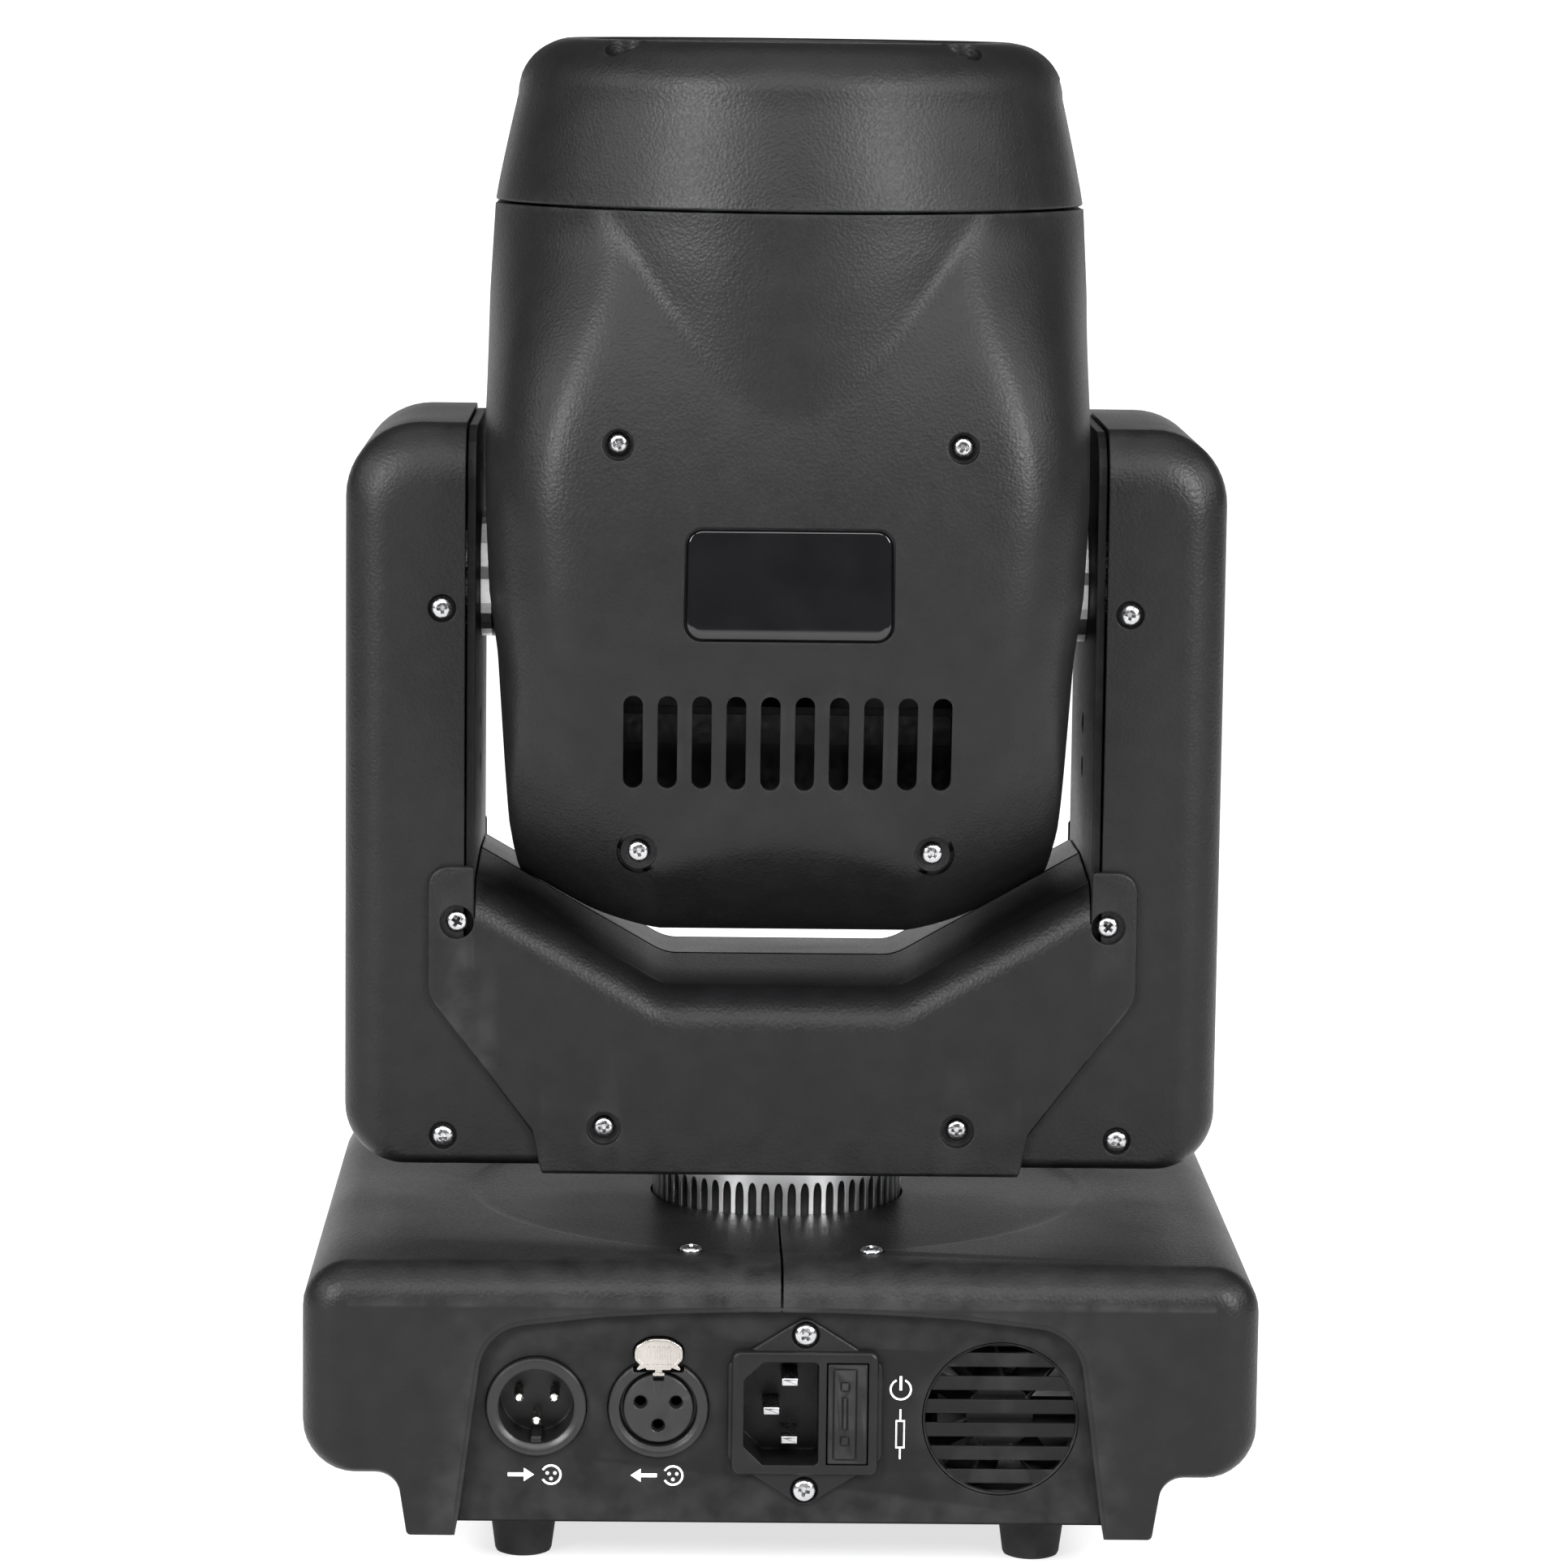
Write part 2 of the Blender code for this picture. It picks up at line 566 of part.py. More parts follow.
motor("tilt_motor", 21, -76.9, -92.5, "x", 0, TILT_MOTOR_Z, 2.9, 9, 11)
pinion = add("tilt_pinion", prism(toothed(TILT_PINION_R, TILT_PINION_R - 1.2,
                                          TILT_PINION_TEETH, 0, TILT_MOTOR_Z),
                                  *BELT_X, "x"), STEEL)
join(pinion, rod(2.5, -102, -85, "x", 0, TILT_MOTOR_Z, 16))
pivot(pinion, -98, 0, TILT_MOTOR_Z)
add("tilt_belt", tube(belt_loop(TILT_R + 1.7, 0, TILT_Z, TILT_PINION_R + 1.7, 0, TILT_MOTOR_Z),
                      belt_loop(TILT_R + 0.4, 0, TILT_Z, TILT_PINION_R + 0.4, 0,
                                TILT_MOTOR_Z), -100.6, -95.4, "x"), RUBBER)
for tag, side in (("left", -1), ("right", 1)):
    add(f"tilt_bearing_{tag}", tube(circle(13, 32, 0, TILT_Z), circle(8.35, 32, 0, TILT_Z),
                                    *sorted((side * 76.9, side * 83)), "x"), STEEL)

# ---------------------------------------------------------------- head
hub = add("tilt_hub_right", lathe([(0, 62.3), (14, 62.3), (14, 65), (15.5, 66), (15.5, 74.2),
                                   (8, 74.2), (8, 88), (0, 88)], 32, "x", 0, TILT_Z), ALU)
hub = add("tilt_hub_left", lathe([(0, -62.3), (14, -62.3), (14, -65), (15.5, -66),
                                  (15.5, -74.2), (8, -74.2), (8, -101), (0, -101)], 32, "x",
                                 0, TILT_Z), ALU)
join(hub, prism(toothed(TILT_R, TILT_R - 1.2, TILT_TEETH, 0, TILT_Z, PLAIN_TOOTH),
                *BELT_X, "x"))


def width_at(z):
    for (z0, w0), (z1, w1) in zip(HEAD_WIDTHS, HEAD_WIDTHS[1:]):
        if z <= z1:
            return w0 + (w1 - w0) * max(z - z0, 0) / (z1 - z0)
    return HEAD_WIDTHS[-1][1]


def cover_depth(x, z, inset):
    """Depth of the head cover in front of the tilt axis at x and z."""
    down = min(max((CAP_Z - z) / 73, 0), 1)
    blend = down * down * (3 - 2 * down)  # round under the cap, nearly square lower down
    power, deep = 2 + 3 * blend, 75 + 7.4 * blend - inset
    half = width_at(z) - inset
    reach = half / (1 - (STRIP_Y / deep) ** power) ** (1 / power)
    side = deep * max(1 - (abs(x) / reach) ** power, 0) ** (1 / power)
    face = 78.9 - (z - 235) ** 2 / 385.5 - inset
    drum = (75 - inset) * math.sqrt(max(1 - (x / 72) ** 2, 0))
    return min(side, max(face, drum))


def sweep_radius(x, inset):
    return 92 - 0.619 * max(abs(x) - 30, 0) - inset


def low_point(u, angle, inset):
    """A point of the cover's lower part, along a ray from the tilt axis."""
    sin, cos = math.sin(angle), math.cos(angle)

    def across(ray):
        return u * (width_at(TILT_Z - ray * cos) - inset)

    lo, hi = 0.0, 96.0
    for _ in range(40):
        ray = (lo + hi) / 2
        x, z = across(ray), TILT_Z - ray * cos
        if (ray * sin > cover_depth(x, z, inset) or ray > sweep_radius(x, inset)
                or ray * cos > 82 - inset):
            hi = ray
        else:
            lo = ray
    return (across(lo), lo * sin, TILT_Z - lo * cos)


COLUMNS = [math.sin(math.pi / 2 * k / 7) for k in range(-7, 8)]
ANGLES = (0.0, 9, 17, 25, 33, 41, 50, 60, 70, 80, 90)
LEVELS = (240, 252, 264, 276, 288, 304, 320.7)


def cover_grid(inset, side):
    grid = []
    for degrees in ANGLES:
        row = []
        for u in COLUMNS:
            x, y, z = low_point(u, math.radians(degrees), inset)
            row.append((x, side * (y + 0.15), z))
        grid.append(row)
    for z in LEVELS:
        row = []
        for u in COLUMNS:
            x = u * (width_at(z) - inset)
            row.append((x, side * (cover_depth(x, z, inset) + 0.15), z))
        grid.append(row)
    return grid


for name, side in (("head_cover_rear", -1), ("head_cover_front", 1)):
    cover = add(name, sheet(cover_grid(0, side), cover_grid(HEAD_WALL, side)), BLACK)
    near, far = sorted((side * 60, side * 90))
    for k in range(10):
        x = (k - 4.5) * 8.05
        cut(cover, prism(rect(x - 2.3, x + 2.3, 186, 208.4, 2.2, 2), near, far, "y"))
    if side < 0:
        cut(cover, prism(rect(-24.5, 24.5, 221.5, 248.1, 3, 3), -90, -77.2, "y"))

for tag, side in (("left", -1), ("right", 1)):
    rings = []
    for z in (168.5, 186, 214, 229, 270, 300, 320.7):
        outer = side * (width_at(z) - 0.05)
        inner = side * (width_at(z) - HEAD_WALL)
        rings.append([(outer, -19.4, z), (outer, 19.4, z), (inner, 19.4, z),
                      (inner, -19.4, z)])
    strip = add(f"head_side_{tag}", loft(rings), BLACK)
    cut(strip, rod(16.2, -90, 90, "x", 0, TILT_Z, 32))


def cap_ring(z, inset):
    deep, half = 75 - inset, 70.8 - inset
    strip = min(STRIP_Y, deep * 0.4)
    reach = half / math.sqrt(1 - (strip / deep) ** 2)
    rear = [(u * half, -deep * math.sqrt(1 - (u * half / reach) ** 2), z) for u in COLUMNS]
    return rear + [(-x, -y, z) for x, y, z in rear]


def lens_ring(z, radius):
    return [(radius * x / math.hypot(x, y), radius * y / math.hypot(x, y), z)
            for x, y, _ in cap_ring(0, 0)]


CAP_PROFILE = ((CAP_Z + 0.3, 0.0), (335, 2.6), (346, 5.2), (352, 7.6), (356.4, 11),
               (359.1, 14.6), (360, 18))
rings = [cap_ring(z, o) for z, o in CAP_PROFILE]
rings += [lens_ring(HEAD_TOP, 47.5), lens_ring(HEAD_TOP - 3, 47.5)]
rings += [cap_ring(min(z, HEAD_TOP - 3), o + HEAD_WALL) for z, o in reversed(CAP_PROFILE[:-1])]
add("head_cap", loft(rings, closed_rows=True), BLACK)

frame = add("head_frame", prism([(-62, 172), (-60, 172), (-60, 200), (60, 200), (60, 172),
                                 (62, 172), (62, 318), (-62, 318)], -30, 30, "y"), STEEL)
cut(frame, box(-60, 60, -40, 40, 202, 262), box(-60, 60, -40, 40, 264, 316))
join(frame, box(-50, 50, -44, 44, 200, 202), rod(46, 316, 318, "z", 0, 0, 32))
cut(frame, rod(21.5, 195, 206, "z", 0, 0, 32), rod(26, 260, 266, "z", 0, 0, 32),
    rod(40, 312, 320, "z", 0, 0, 32))

add("lens_bezel", tube(circle(44.6, 32), circle(41, 32), 353.6, 358.6), DARK)
add("front_lens", lathe([(0, 338), (45.5, 338), (45.5, 341), (40, 345.2), (30, 349.2),
                         (16, 352.0), (0, 353)], 30), GLASS)

add("badge", prism(rect(-24.1, 24.1, 221.9, 247.7, 2.7, 3), -78.8, -77.5, "y"), GLOSS)

sink = add("led_heatsink", box(-40, 40, -38, 38, 192, 199.7), ALU)
for k in range(9):
    y = -36 + k * 9
    join(sink, box(-40, 40, y - 1, y + 1, 169, 193))
add("led_board", rod(20.8, 200, 202.6, "z", 0, 0, 32), WHITE)

fan_frame("head_fan_frame", 30, 28.6, 151, 166, 166, "z", 0, 0, 12)
pivot(fan_rotor("head_fan_rotor", 27.6, 11.5, 152.2, 163.6, "z", 0, 0), 0, 0, 158)

# colour and gobo wheels, each on its motor's shaft and each crossing the beam at x=y=0
WHEEL_Y = 28.0


def wheel(name, y, lo, hi, apertures, hole, shaft_lo, shaft_hi, look):
    disc = add(name, rod(37, lo, hi, "z", 0, y, 30), look)
    join(disc, rod(2.5, shaft_lo, shaft_hi, "z", 0, y, 16))
    for k in range(apertures):
        t = 2 * math.pi * k / apertures
        centre = (-math.sin(t) * WHEEL_Y, y - math.copysign(1, y) * math.cos(t) * WHEEL_Y)
        cut(disc, rod(hole, lo - 1, hi + 1, "z", *centre, 12))
    pivot(disc, 0, y, (lo + hi) / 2)
    return disc


motor("colour_motor", 14, 204.5, 219, "z", 0, WHEEL_Y, 2.9, 9)
wheel("colour_wheel", WHEEL_Y, 222, 223.5, 8, 6.5, 212, 224, YELLOW)
motor("gobo_motor", 14, 258, 240, "z", 0, -WHEEL_Y, 2.9, 9)
wheel("gobo_wheel", -WHEEL_Y, 230, 232, 7, 7.5, 229, 246, STEEL)

add("focus_lens", lathe([(0, 274.5), (20, 275.5), (30, 278), (30, 274), (33, 274), (33, 286),
                         (30, 286), (30, 282), (20, 284.5), (0, 285.6)], 24), GLASS)
motor("focus_motor", 9, 266, 282, "z", -48, 0, 2.0, 6)

for obj in PARTS.objects:
    for polygon in obj.data.polygons:
        polygon.use_smooth = False
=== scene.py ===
"""Looks of the moving head light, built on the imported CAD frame. Helpers take millimetres."""
import math

import bmesh
import bpy
from mathutils import Matrix, Vector


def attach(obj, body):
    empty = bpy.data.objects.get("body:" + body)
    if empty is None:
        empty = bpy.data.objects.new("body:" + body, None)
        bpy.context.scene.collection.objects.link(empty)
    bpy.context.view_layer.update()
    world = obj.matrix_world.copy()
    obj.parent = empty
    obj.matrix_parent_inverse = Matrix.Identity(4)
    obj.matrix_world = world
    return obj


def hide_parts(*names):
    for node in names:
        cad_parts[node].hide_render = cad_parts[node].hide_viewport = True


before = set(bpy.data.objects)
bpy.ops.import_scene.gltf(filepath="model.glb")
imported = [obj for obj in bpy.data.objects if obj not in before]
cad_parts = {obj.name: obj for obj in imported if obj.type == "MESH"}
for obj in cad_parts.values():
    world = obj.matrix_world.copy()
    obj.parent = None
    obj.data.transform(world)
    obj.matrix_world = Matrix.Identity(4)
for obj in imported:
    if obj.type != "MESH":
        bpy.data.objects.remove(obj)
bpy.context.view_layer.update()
MM = 0.001

# Driving sizes, mm, as in the CAD
BASE_HALF_W, BASE_HALF_D, BASE_TOP = 112.7, 95.0, 75.5
SIDE_BOTTOM, LIP_BOTTOM, WALL = 25.0, 11.3, 2.5
TILT_Z = 229.0
ARM_IN, ARM_OUT, ARM_TOP, ARM_BOTTOM, ARM_HALF_D = 76.9, 106.0, 268.6, 88.0, 42.5
CAP_Z, HEAD_WALL, STRIP_Y, SWEEP_R, LENS_R = 321.0, 2.4, 20.0, 92.0, 45.6
HEAD_WIDTHS = ((140, 60.5), (165, 65.3), (173.5, 66.6), (186, 67.6), (214, 69.5),
               (229, 71.6), (250, 72.6), (270, 72.8), (300, 72.0), (321, 70.8))
PANEL_BACK, PANEL_FACE = 90.0, 91.6
XLR_IN, XLR_OUT, INLET, FAN = (-57.5, 41.8), (-28.8, 41.6), (5.7, 41.0), (51.8, 39.4)

# ---------------- materials


def nodes_of(name):
    made = bpy.data.materials.new(name)
    made.use_nodes = True
    tree = made.node_tree
    return made, tree, tree.nodes["Principled BSDF"]


def node(tree, kind, **settings):
    made = tree.nodes.new(kind)
    for key, value in settings.items():
        if key in made.inputs:
            made.inputs[key].default_value = value
        else:
            setattr(made, key, value)
    return made


def noise(tree, scale, detail=3.0, stretch=(1, 1, 1), roughness=0.5):
    where = node(tree, "ShaderNodeTexCoord")
    shape = node(tree, "ShaderNodeMapping", Scale=stretch)
    made = node(tree, "ShaderNodeTexNoise", Scale=scale, Detail=detail, Roughness=roughness)
    tree.links.new(where.outputs["Object"], shape.inputs["Vector"])
    tree.links.new(shape.outputs["Vector"], made.inputs["Vector"])
    return made


def remap(tree, value, low, high, from_low=0.3, from_high=0.7):
    made = node(tree, "ShaderNodeMapRange", **{"From Min": from_low, "From Max": from_high,
                                               "To Min": low, "To Max": high})
    tree.links.new(value, made.inputs["Value"])
    return made.outputs["Result"]


def two_tone(tree, value, first, second):
    made = node(tree, "ShaderNodeMix", data_type="RGBA", A=(*first, 1), B=(*second, 1))
    tree.links.new(value, made.inputs["Factor"])
    return made.outputs["Result"]


def combined(tree, operation, first, second):
    made = node(tree, "ShaderNodeMath", operation=operation)
    tree.links.new(first, made.inputs[0])
    tree.links.new(second, made.inputs[1])
    return made.outputs[0]


def relief(tree, shader, height, strength, depth, radius=0.0):
    """Bump from a height, over edges that a small radius softens."""
    bump = node(tree, "ShaderNodeBump", Strength=strength, Distance=depth)
    tree.links.new(height, bump.inputs["Height"])
    if radius:
        soft = node(tree, "ShaderNodeBevel", samples=4, Radius=radius)
        tree.links.new(soft.outputs["Normal"], bump.inputs["Normal"])
    tree.links.new(bump.outputs["Normal"], shader.inputs["Normal"])


def plastic(name, dark, light, rough, grain=1500, depth=0.00006, spread=0.08, level=0.3,
            edge_highlight=0.012):
    """Moulded plastic: spark-eroded grain, uneven gloss, and a painted highlight on its sharp
    edges.
    """
    made, tree, shader = nodes_of(name)
    link = tree.links.new
    broad, patch = noise(tree, 22, 4).outputs["Fac"], noise(tree, 140, 5).outputs["Fac"]
    fine = noise(tree, grain, 2, roughness=0.6).outputs["Fac"]
    pebble = node(tree, "ShaderNodeTexVoronoi", Scale=grain * 0.8)
    where = node(tree, "ShaderNodeTexCoord")
    link(where.outputs["Object"], pebble.inputs["Vector"])
    # sharp convex edges painted paler as a highlight, in random patches, from how sharply the
    # surface turns
    turn = node(tree, "ShaderNodeNewGeometry")
    highlight_mask = combined(tree, "MULTIPLY", remap(tree, turn.outputs["Pointiness"], 0, 1, 0.53, 0.62),
                   remap(tree, patch, 0.1, 0.9, 0.35, 0.65))
    highlit_colour = node(tree, "ShaderNodeMix", data_type="RGBA", B=(*(c + edge_highlight for c in light), 1))
    link(highlight_mask, highlit_colour.inputs["Factor"])
    link(two_tone(tree, remap(tree, patch, 0, 1), dark, light), highlit_colour.inputs["A"])
    link(highlit_colour.outputs["Result"], shader.inputs["Base Color"])
    link(combined(tree, "ADD", remap(tree, broad, rough - spread / 2, rough + spread / 2),
                  remap(tree, fine, -0.05, 0.05)), shader.inputs["Roughness"])
    relief(tree, shader, combined(tree, "ADD", fine, pebble.outputs["Distance"]), 0.55, depth,
           0.0005)
    shader.inputs["Specular IOR Level"].default_value = level
    return made


def metal(name, tone, rough, stretch=(1, 1, 1), scale=900, depth=0.00001, spread=0.12):
    """Machined or brushed metal, its marks drawn out along one axis."""
    made, tree, shader = nodes_of(name)
    marks = noise(tree, scale, 4, stretch).outputs["Fac"]
    stain = noise(tree, 60, 5).outputs["Fac"]
    darker = tuple(c * 0.72 for c in tone)
    tree.links.new(two_tone(tree, remap(tree, stain, 0, 1), darker, tone),
                   shader.inputs["Base Color"])
    tree.links.new(remap(tree, marks, rough - spread, rough + spread),
                   shader.inputs["Roughness"])
    relief(tree, shader, marks, 0.4, depth, 0.00015)
    shader.inputs["Metallic"].default_value = 1.0
    return made


ABS = plastic("textured_abs", (0.0034, 0.0034, 0.0037), (0.0052, 0.0052, 0.0056), 0.43,
              depth=0.00011, level=0.2)
ABS_FINE = plastic("fine_abs", (0.003, 0.003, 0.0033), (0.0045, 0.0045, 0.0049), 0.38, 2600,
                   0.00003, level=0.2)
PAINT = plastic("powder_coat", (0.003, 0.003, 0.0033), (0.0045, 0.0045, 0.0049), 0.48, 1000,
                0.00008, level=0.15)
INSERT = plastic("socket_plastic", (0.006, 0.006, 0.0065), (0.009, 0.009, 0.0095), 0.35, 3200,
                 0.00002)
RUBBER = plastic("foot_rubber", (0.011, 0.011, 0.011), (0.019, 0.0185, 0.018), 0.8, 700,
                 0.0001, level=0.25, edge_highlight=0.03)
BELT = plastic("belt_rubber", (0.009, 0.009, 0.009), (0.014, 0.014, 0.014), 0.7, 1800, 0.00006)
STEEL = metal("screw_steel", (0.46, 0.46, 0.47), 0.24, scale=1500)
PLATE = metal("zinc_plate", (0.50, 0.50, 0.49), 0.38, scale=300, stretch=(1, 6, 1))
ALU = metal("machined_aluminium", (0.74, 0.74, 0.75), 0.33, (1, 1, 9), 700, 0.000004, 0.05)
# dark metal for the tilt bosses; on the heatsink its dark colour is painted shade, so the vent
# slots read dark
ANODISED_AND_SHADE = metal("black_anodised_and_shade", (0.035, 0.035, 0.037), 0.42, (1, 8, 1), 500)
NICKEL = metal("nickel_latch", (0.40, 0.375, 0.35), 0.30, (6, 1, 1), 700)
BRASS = metal("contact_pin", (0.78, 0.76, 0.70), 0.2, scale=1200)


def simple(name, tone, rough, **inputs):
    """A smooth finish with a little unevenness in colour and gloss."""
    made, tree, shader = nodes_of(name)
    cloud = noise(tree, 90, 5)
    paler = tuple(min(c * 1.25 + 0.001, 1) for c in tone)
    tree.links.new(two_tone(tree, remap(tree, cloud.outputs["Fac"], 0, 1), tone, paler),
                   shader.inputs["Base Color"])
    tree.links.new(remap(tree, cloud.outputs["Fac"], rough * 0.8, rough * 1.25),
                   shader.inputs["Roughness"])
    for key, value in inputs.items():
        shader.inputs[key.replace("_", " ")].default_value = value
    return made


GLOSS = simple("gloss_badge", (0.003, 0.003, 0.0035), 0.08, Specular_IOR_Level=0.3,
               Coat_Weight=0.25)
SCREEN = simple("display_window", (0.006, 0.007, 0.010), 0.1, Coat_Weight=1.0)
WHITE = simple("printed_white", (0.55, 0.55, 0.55), 0.5)
LED = simple("led_ceramic", (0.75, 0.75, 0.70), 0.4)
PHOSPHOR = simple("led_phosphor", (0.85, 0.62, 0.08), 0.5)
GLASS = simple("lens_glass", (0.93, 0.96, 1.0), 0.02, Transmission_Weight=1.0, IOR=1.52,
               Coat_Weight=0.6, Coat_Tint=(0.8, 0.85, 1, 1))


def circuit_board():
    """Green solder mask with brighter tracks."""
    made, tree, shader = nodes_of("circuit_board")
    link = tree.links.new
    where = node(tree, "ShaderNodeTexCoord")
    tracks = node(tree, "ShaderNodeTexBrick", Scale=260, Color1=(0.008, 0.07, 0.025, 1),
                  Color2=(0.01, 0.085, 0.03, 1), Mortar=(0.03, 0.17, 0.06, 1),
                  **{"Mortar Size": 0.03})
    turned = node(tree, "ShaderNodeMapping", Rotation=(math.pi / 2, 0, 0))
    link(where.outputs["Object"], turned.inputs["Vector"])
    link(turned.outputs["Vector"], tracks.inputs["Vector"])
    link(tracks.outputs["Color"], shader.inputs["Base Color"])
    shader.inputs["Roughness"].default_value = 0.35
    relief(tree, shader, tracks.outputs["Fac"], 0.4, 0.00004)
    return made


BOARD = circuit_board()

# ---------------- geometry helpers


def soften(corners, steps=6):
    """The outline through corners (a, b, radius) with each radius rounded off."""
    out = []
    count = len(corners)
    for i, (a, b, r) in enumerate(corners):
        if r <= 0:
            out.append((a, b))
            continue
        pa, pb = corners[i - 1][:2]
        na, nb = corners[(i + 1) % count][:2]
        u, v = Vector((pa - a, pb - b)).normalized(), Vector((na - a, nb - b)).normalized()
        half = math.acos(max(-1, min(1, u.dot(v)))) / 2
        reach = r / math.tan(half)
        mid = Vector((a, b)) + (u + v).normalized() * (r / math.sin(half))
        start, end = Vector((a, b)) + u * reach - mid, Vector((a, b)) + v * reach - mid
        first = math.atan2(start.y, start.x)
        turn = (math.atan2(end.y, end.x) - first + math.pi) % (2 * math.pi) - math.pi
        for k in range(steps + 1):
            t = first + turn * k / steps
            out.append((mid.x + r * math.cos(t), mid.y + r * math.sin(t)))
    return out


def mirror(outline):
    return [(-a, b) for a, b in reversed(outline)]


def sided(outline, side):
    """The outline as drawn for the right (+1), mirrored for the left (-1)."""
    return outline if side > 0 else mirror(outline)


def quarter(steps, first=0):
    """The angles of a quarter turn in equal steps, from step first to the end."""
    return [math.pi / 2 * k / steps for k in range(first, steps + 1)]


def circle(r, count=48, a=0.0, b=0.0):
    return [(a + r * math.cos(2 * math.pi * k / count),
             b + r * math.sin(2 * math.pi * k / count)) for k in range(count)]


def rect(a0, a1, b0, b1, r=0.0, steps=5):
    return soften([(a0, b0, r), (a1, b0, r), (a1, b1, r), (a0, b1, r)], steps)


def placed(a, b, t, axis):
    return {"x": (t, a, b), "y": (a, t, b), "z": (a, b, t)}[axis]


def out_facing(bm):
    bmesh.ops.recalc_face_normals(bm, faces=bm.faces)
    return bm


def loft(rings, closed_rows=False):
    bm = bmesh.new()
    loops = [[bm.verts.new(p) for p in ring] for ring in rings]
    count = len(rings[0])
    pairs = list(zip(loops, loops[1:]))
    if closed_rows:
        pairs.append((loops[-1], loops[0]))
    else:
        bm.faces.new(loops[0])
        bm.faces.new(loops[-1])
    for here, after in pairs:
        for i in range(count):
            j = (i + 1) % count
            bm.faces.new((here[i], here[j], after[j], after[i]))
    return out_facing(bm)


def prism(outline, lo, hi, axis="z", round_lo=0.0, round_hi=0.0):
    """The outline run along an axis, its two ends rounded over by insetting each ring."""
    rows = [(lo + round_lo * (1 - math.sin(t)), round_lo * (1 - math.cos(t)))
            for t in quarter(3)[::-1]] if round_lo else [(lo, 0.0)]
    rows += [(hi - round_hi * (1 - math.sin(t)), round_hi * (1 - math.cos(t)))
             for t in quarter(3)] if round_hi else [(hi, 0.0)]
    return loft([[placed(a, b, t, axis) for a, b in inset(outline, o)] for t, o in rows])


def inset(outline, by):
    """The outline moved inwards by a small distance, corner for corner."""
    if not by:
        return outline
    area = sum(a * d - c * b for (a, b), (c, d) in zip(outline, outline[1:] + outline[:1]))
    sign = 1 if area > 0 else -1
    out = []
    count = len(outline)
    for i, (a, b) in enumerate(outline):
        p, q = Vector(outline[i - 1]), Vector(outline[(i + 1) % count])
        here = Vector((a, b))
        u, v = (here - p).normalized(), (q - here).normalized()
        n1, n2 = Vector((-u.y, u.x)) * sign, Vector((-v.y, v.x)) * sign
        n = n1 + n2
        n = n / max(n.dot(n1), 0.3)
        out.append((a + n.x * by, b + n.y * by))
    return out


def box(x0, x1, y0, y1, z0, z1, r=0.0, axis="z", edge=0.0):
    span = {"x": (y0, y1, z0, z1, x0, x1), "y": (x0, x1, z0, z1, y0, y1),
            "z": (x0, x1, y0, y1, z0, z1)}[axis]
    return prism(rect(*span[:4], r), span[4], span[5], axis, edge, edge)


def pane(centre, half_x, half_z, y0, y1, r=0.0, edge=0.0):
    """A box on a panel, given by its middle and half its width and height."""
    x, z = centre
    return box(x - half_x, x + half_x, y0, y1, z - half_z, z + half_z, r, "y", edge)


def rod(r, lo, hi, axis="z", a=0.0, b=0.0, count=48, edge=0.0):
    return prism(circle(r, count, a, b), lo, hi, axis, edge, edge)


def lathe(profile, count=64, axis="z", a=0.0, b=0.0, closed=False):
    """Turns (radius, height) points about an axis. A radius of 0 is one point."""
    bm = bmesh.new()
    rings = []
    for r, t in profile:
        if r <= 0:
            rings.append([bm.verts.new(placed(a, b, t, axis))] * count)
        else:
            rings.append([bm.verts.new(placed(p, q, t, axis))
                          for p, q in circle(r, count, a, b)])
    pairs = list(zip(rings, rings[1:]))
    if closed:
        pairs.append((rings[-1], rings[0]))
    for here, after in pairs:
        for i in range(count):
            j = (i + 1) % count
            corners = []
            for v in (here[i], here[j], after[j], after[i]):
                if v not in corners:
                    corners.append(v)
            if len(corners) > 2:
                bm.faces.new(corners)
    return out_facing(bm)


def sheet(outer, inner):
    """A closed skin from two grids of points, joined round their rims."""
    bm = bmesh.new()
    grids = [[[bm.verts.new(p) for p in row] for row in grid] for grid in (outer, inner)]
    rows, cols = len(outer), len(outer[0])
    for grid in grids:
        for i in range(rows - 1):
            for j in range(cols - 1):
                bm.faces.new((grid[i][j], grid[i][j + 1], grid[i + 1][j + 1],
                              grid[i + 1][j]))
    rim = [(0, j) for j in range(cols - 1)] + [(i, cols - 1) for i in range(rows - 1)]
    rim += [(rows - 1, j) for j in range(cols - 1, 0, -1)]
    rim += [(i, 0) for i in range(rows - 1, 0, -1)]
    first, second = grids
    for k, (i, j) in enumerate(rim):
        m, n = rim[(k + 1) % len(rim)]
        bm.faces.new((first[i][j], first[m][n], second[m][n], second[i][j]))
    return out_facing(bm)


def merged(shapes):
    """Several bmeshes as one."""
    bm = bmesh.new()
    for shape in shapes:
        seen = {v: bm.verts.new(v.co) for v in shape.verts}
        for face in shape.faces:
            bm.faces.new([seen[v] for v in face.verts])
        shape.free()
    return bm


def linked(name, data):
    made = bpy.data.objects.new(name, data)
    bpy.context.scene.collection.objects.link(made)
    return made


def raw(name, bm):
    bmesh.ops.scale(bm, vec=(MM, MM, MM), verts=bm.verts)
    mesh = bpy.data.meshes.new(name)
    bm.to_mesh(mesh)
    bm.free()
    return linked(name, mesh)


def shade(mesh, sharp):
    """Smooth shading, broken where faces meet at more than sharp degrees."""
    for polygon in mesh.polygons:
        polygon.use_smooth = True
    mesh.set_sharp_from_angle(angle=math.radians(sharp))


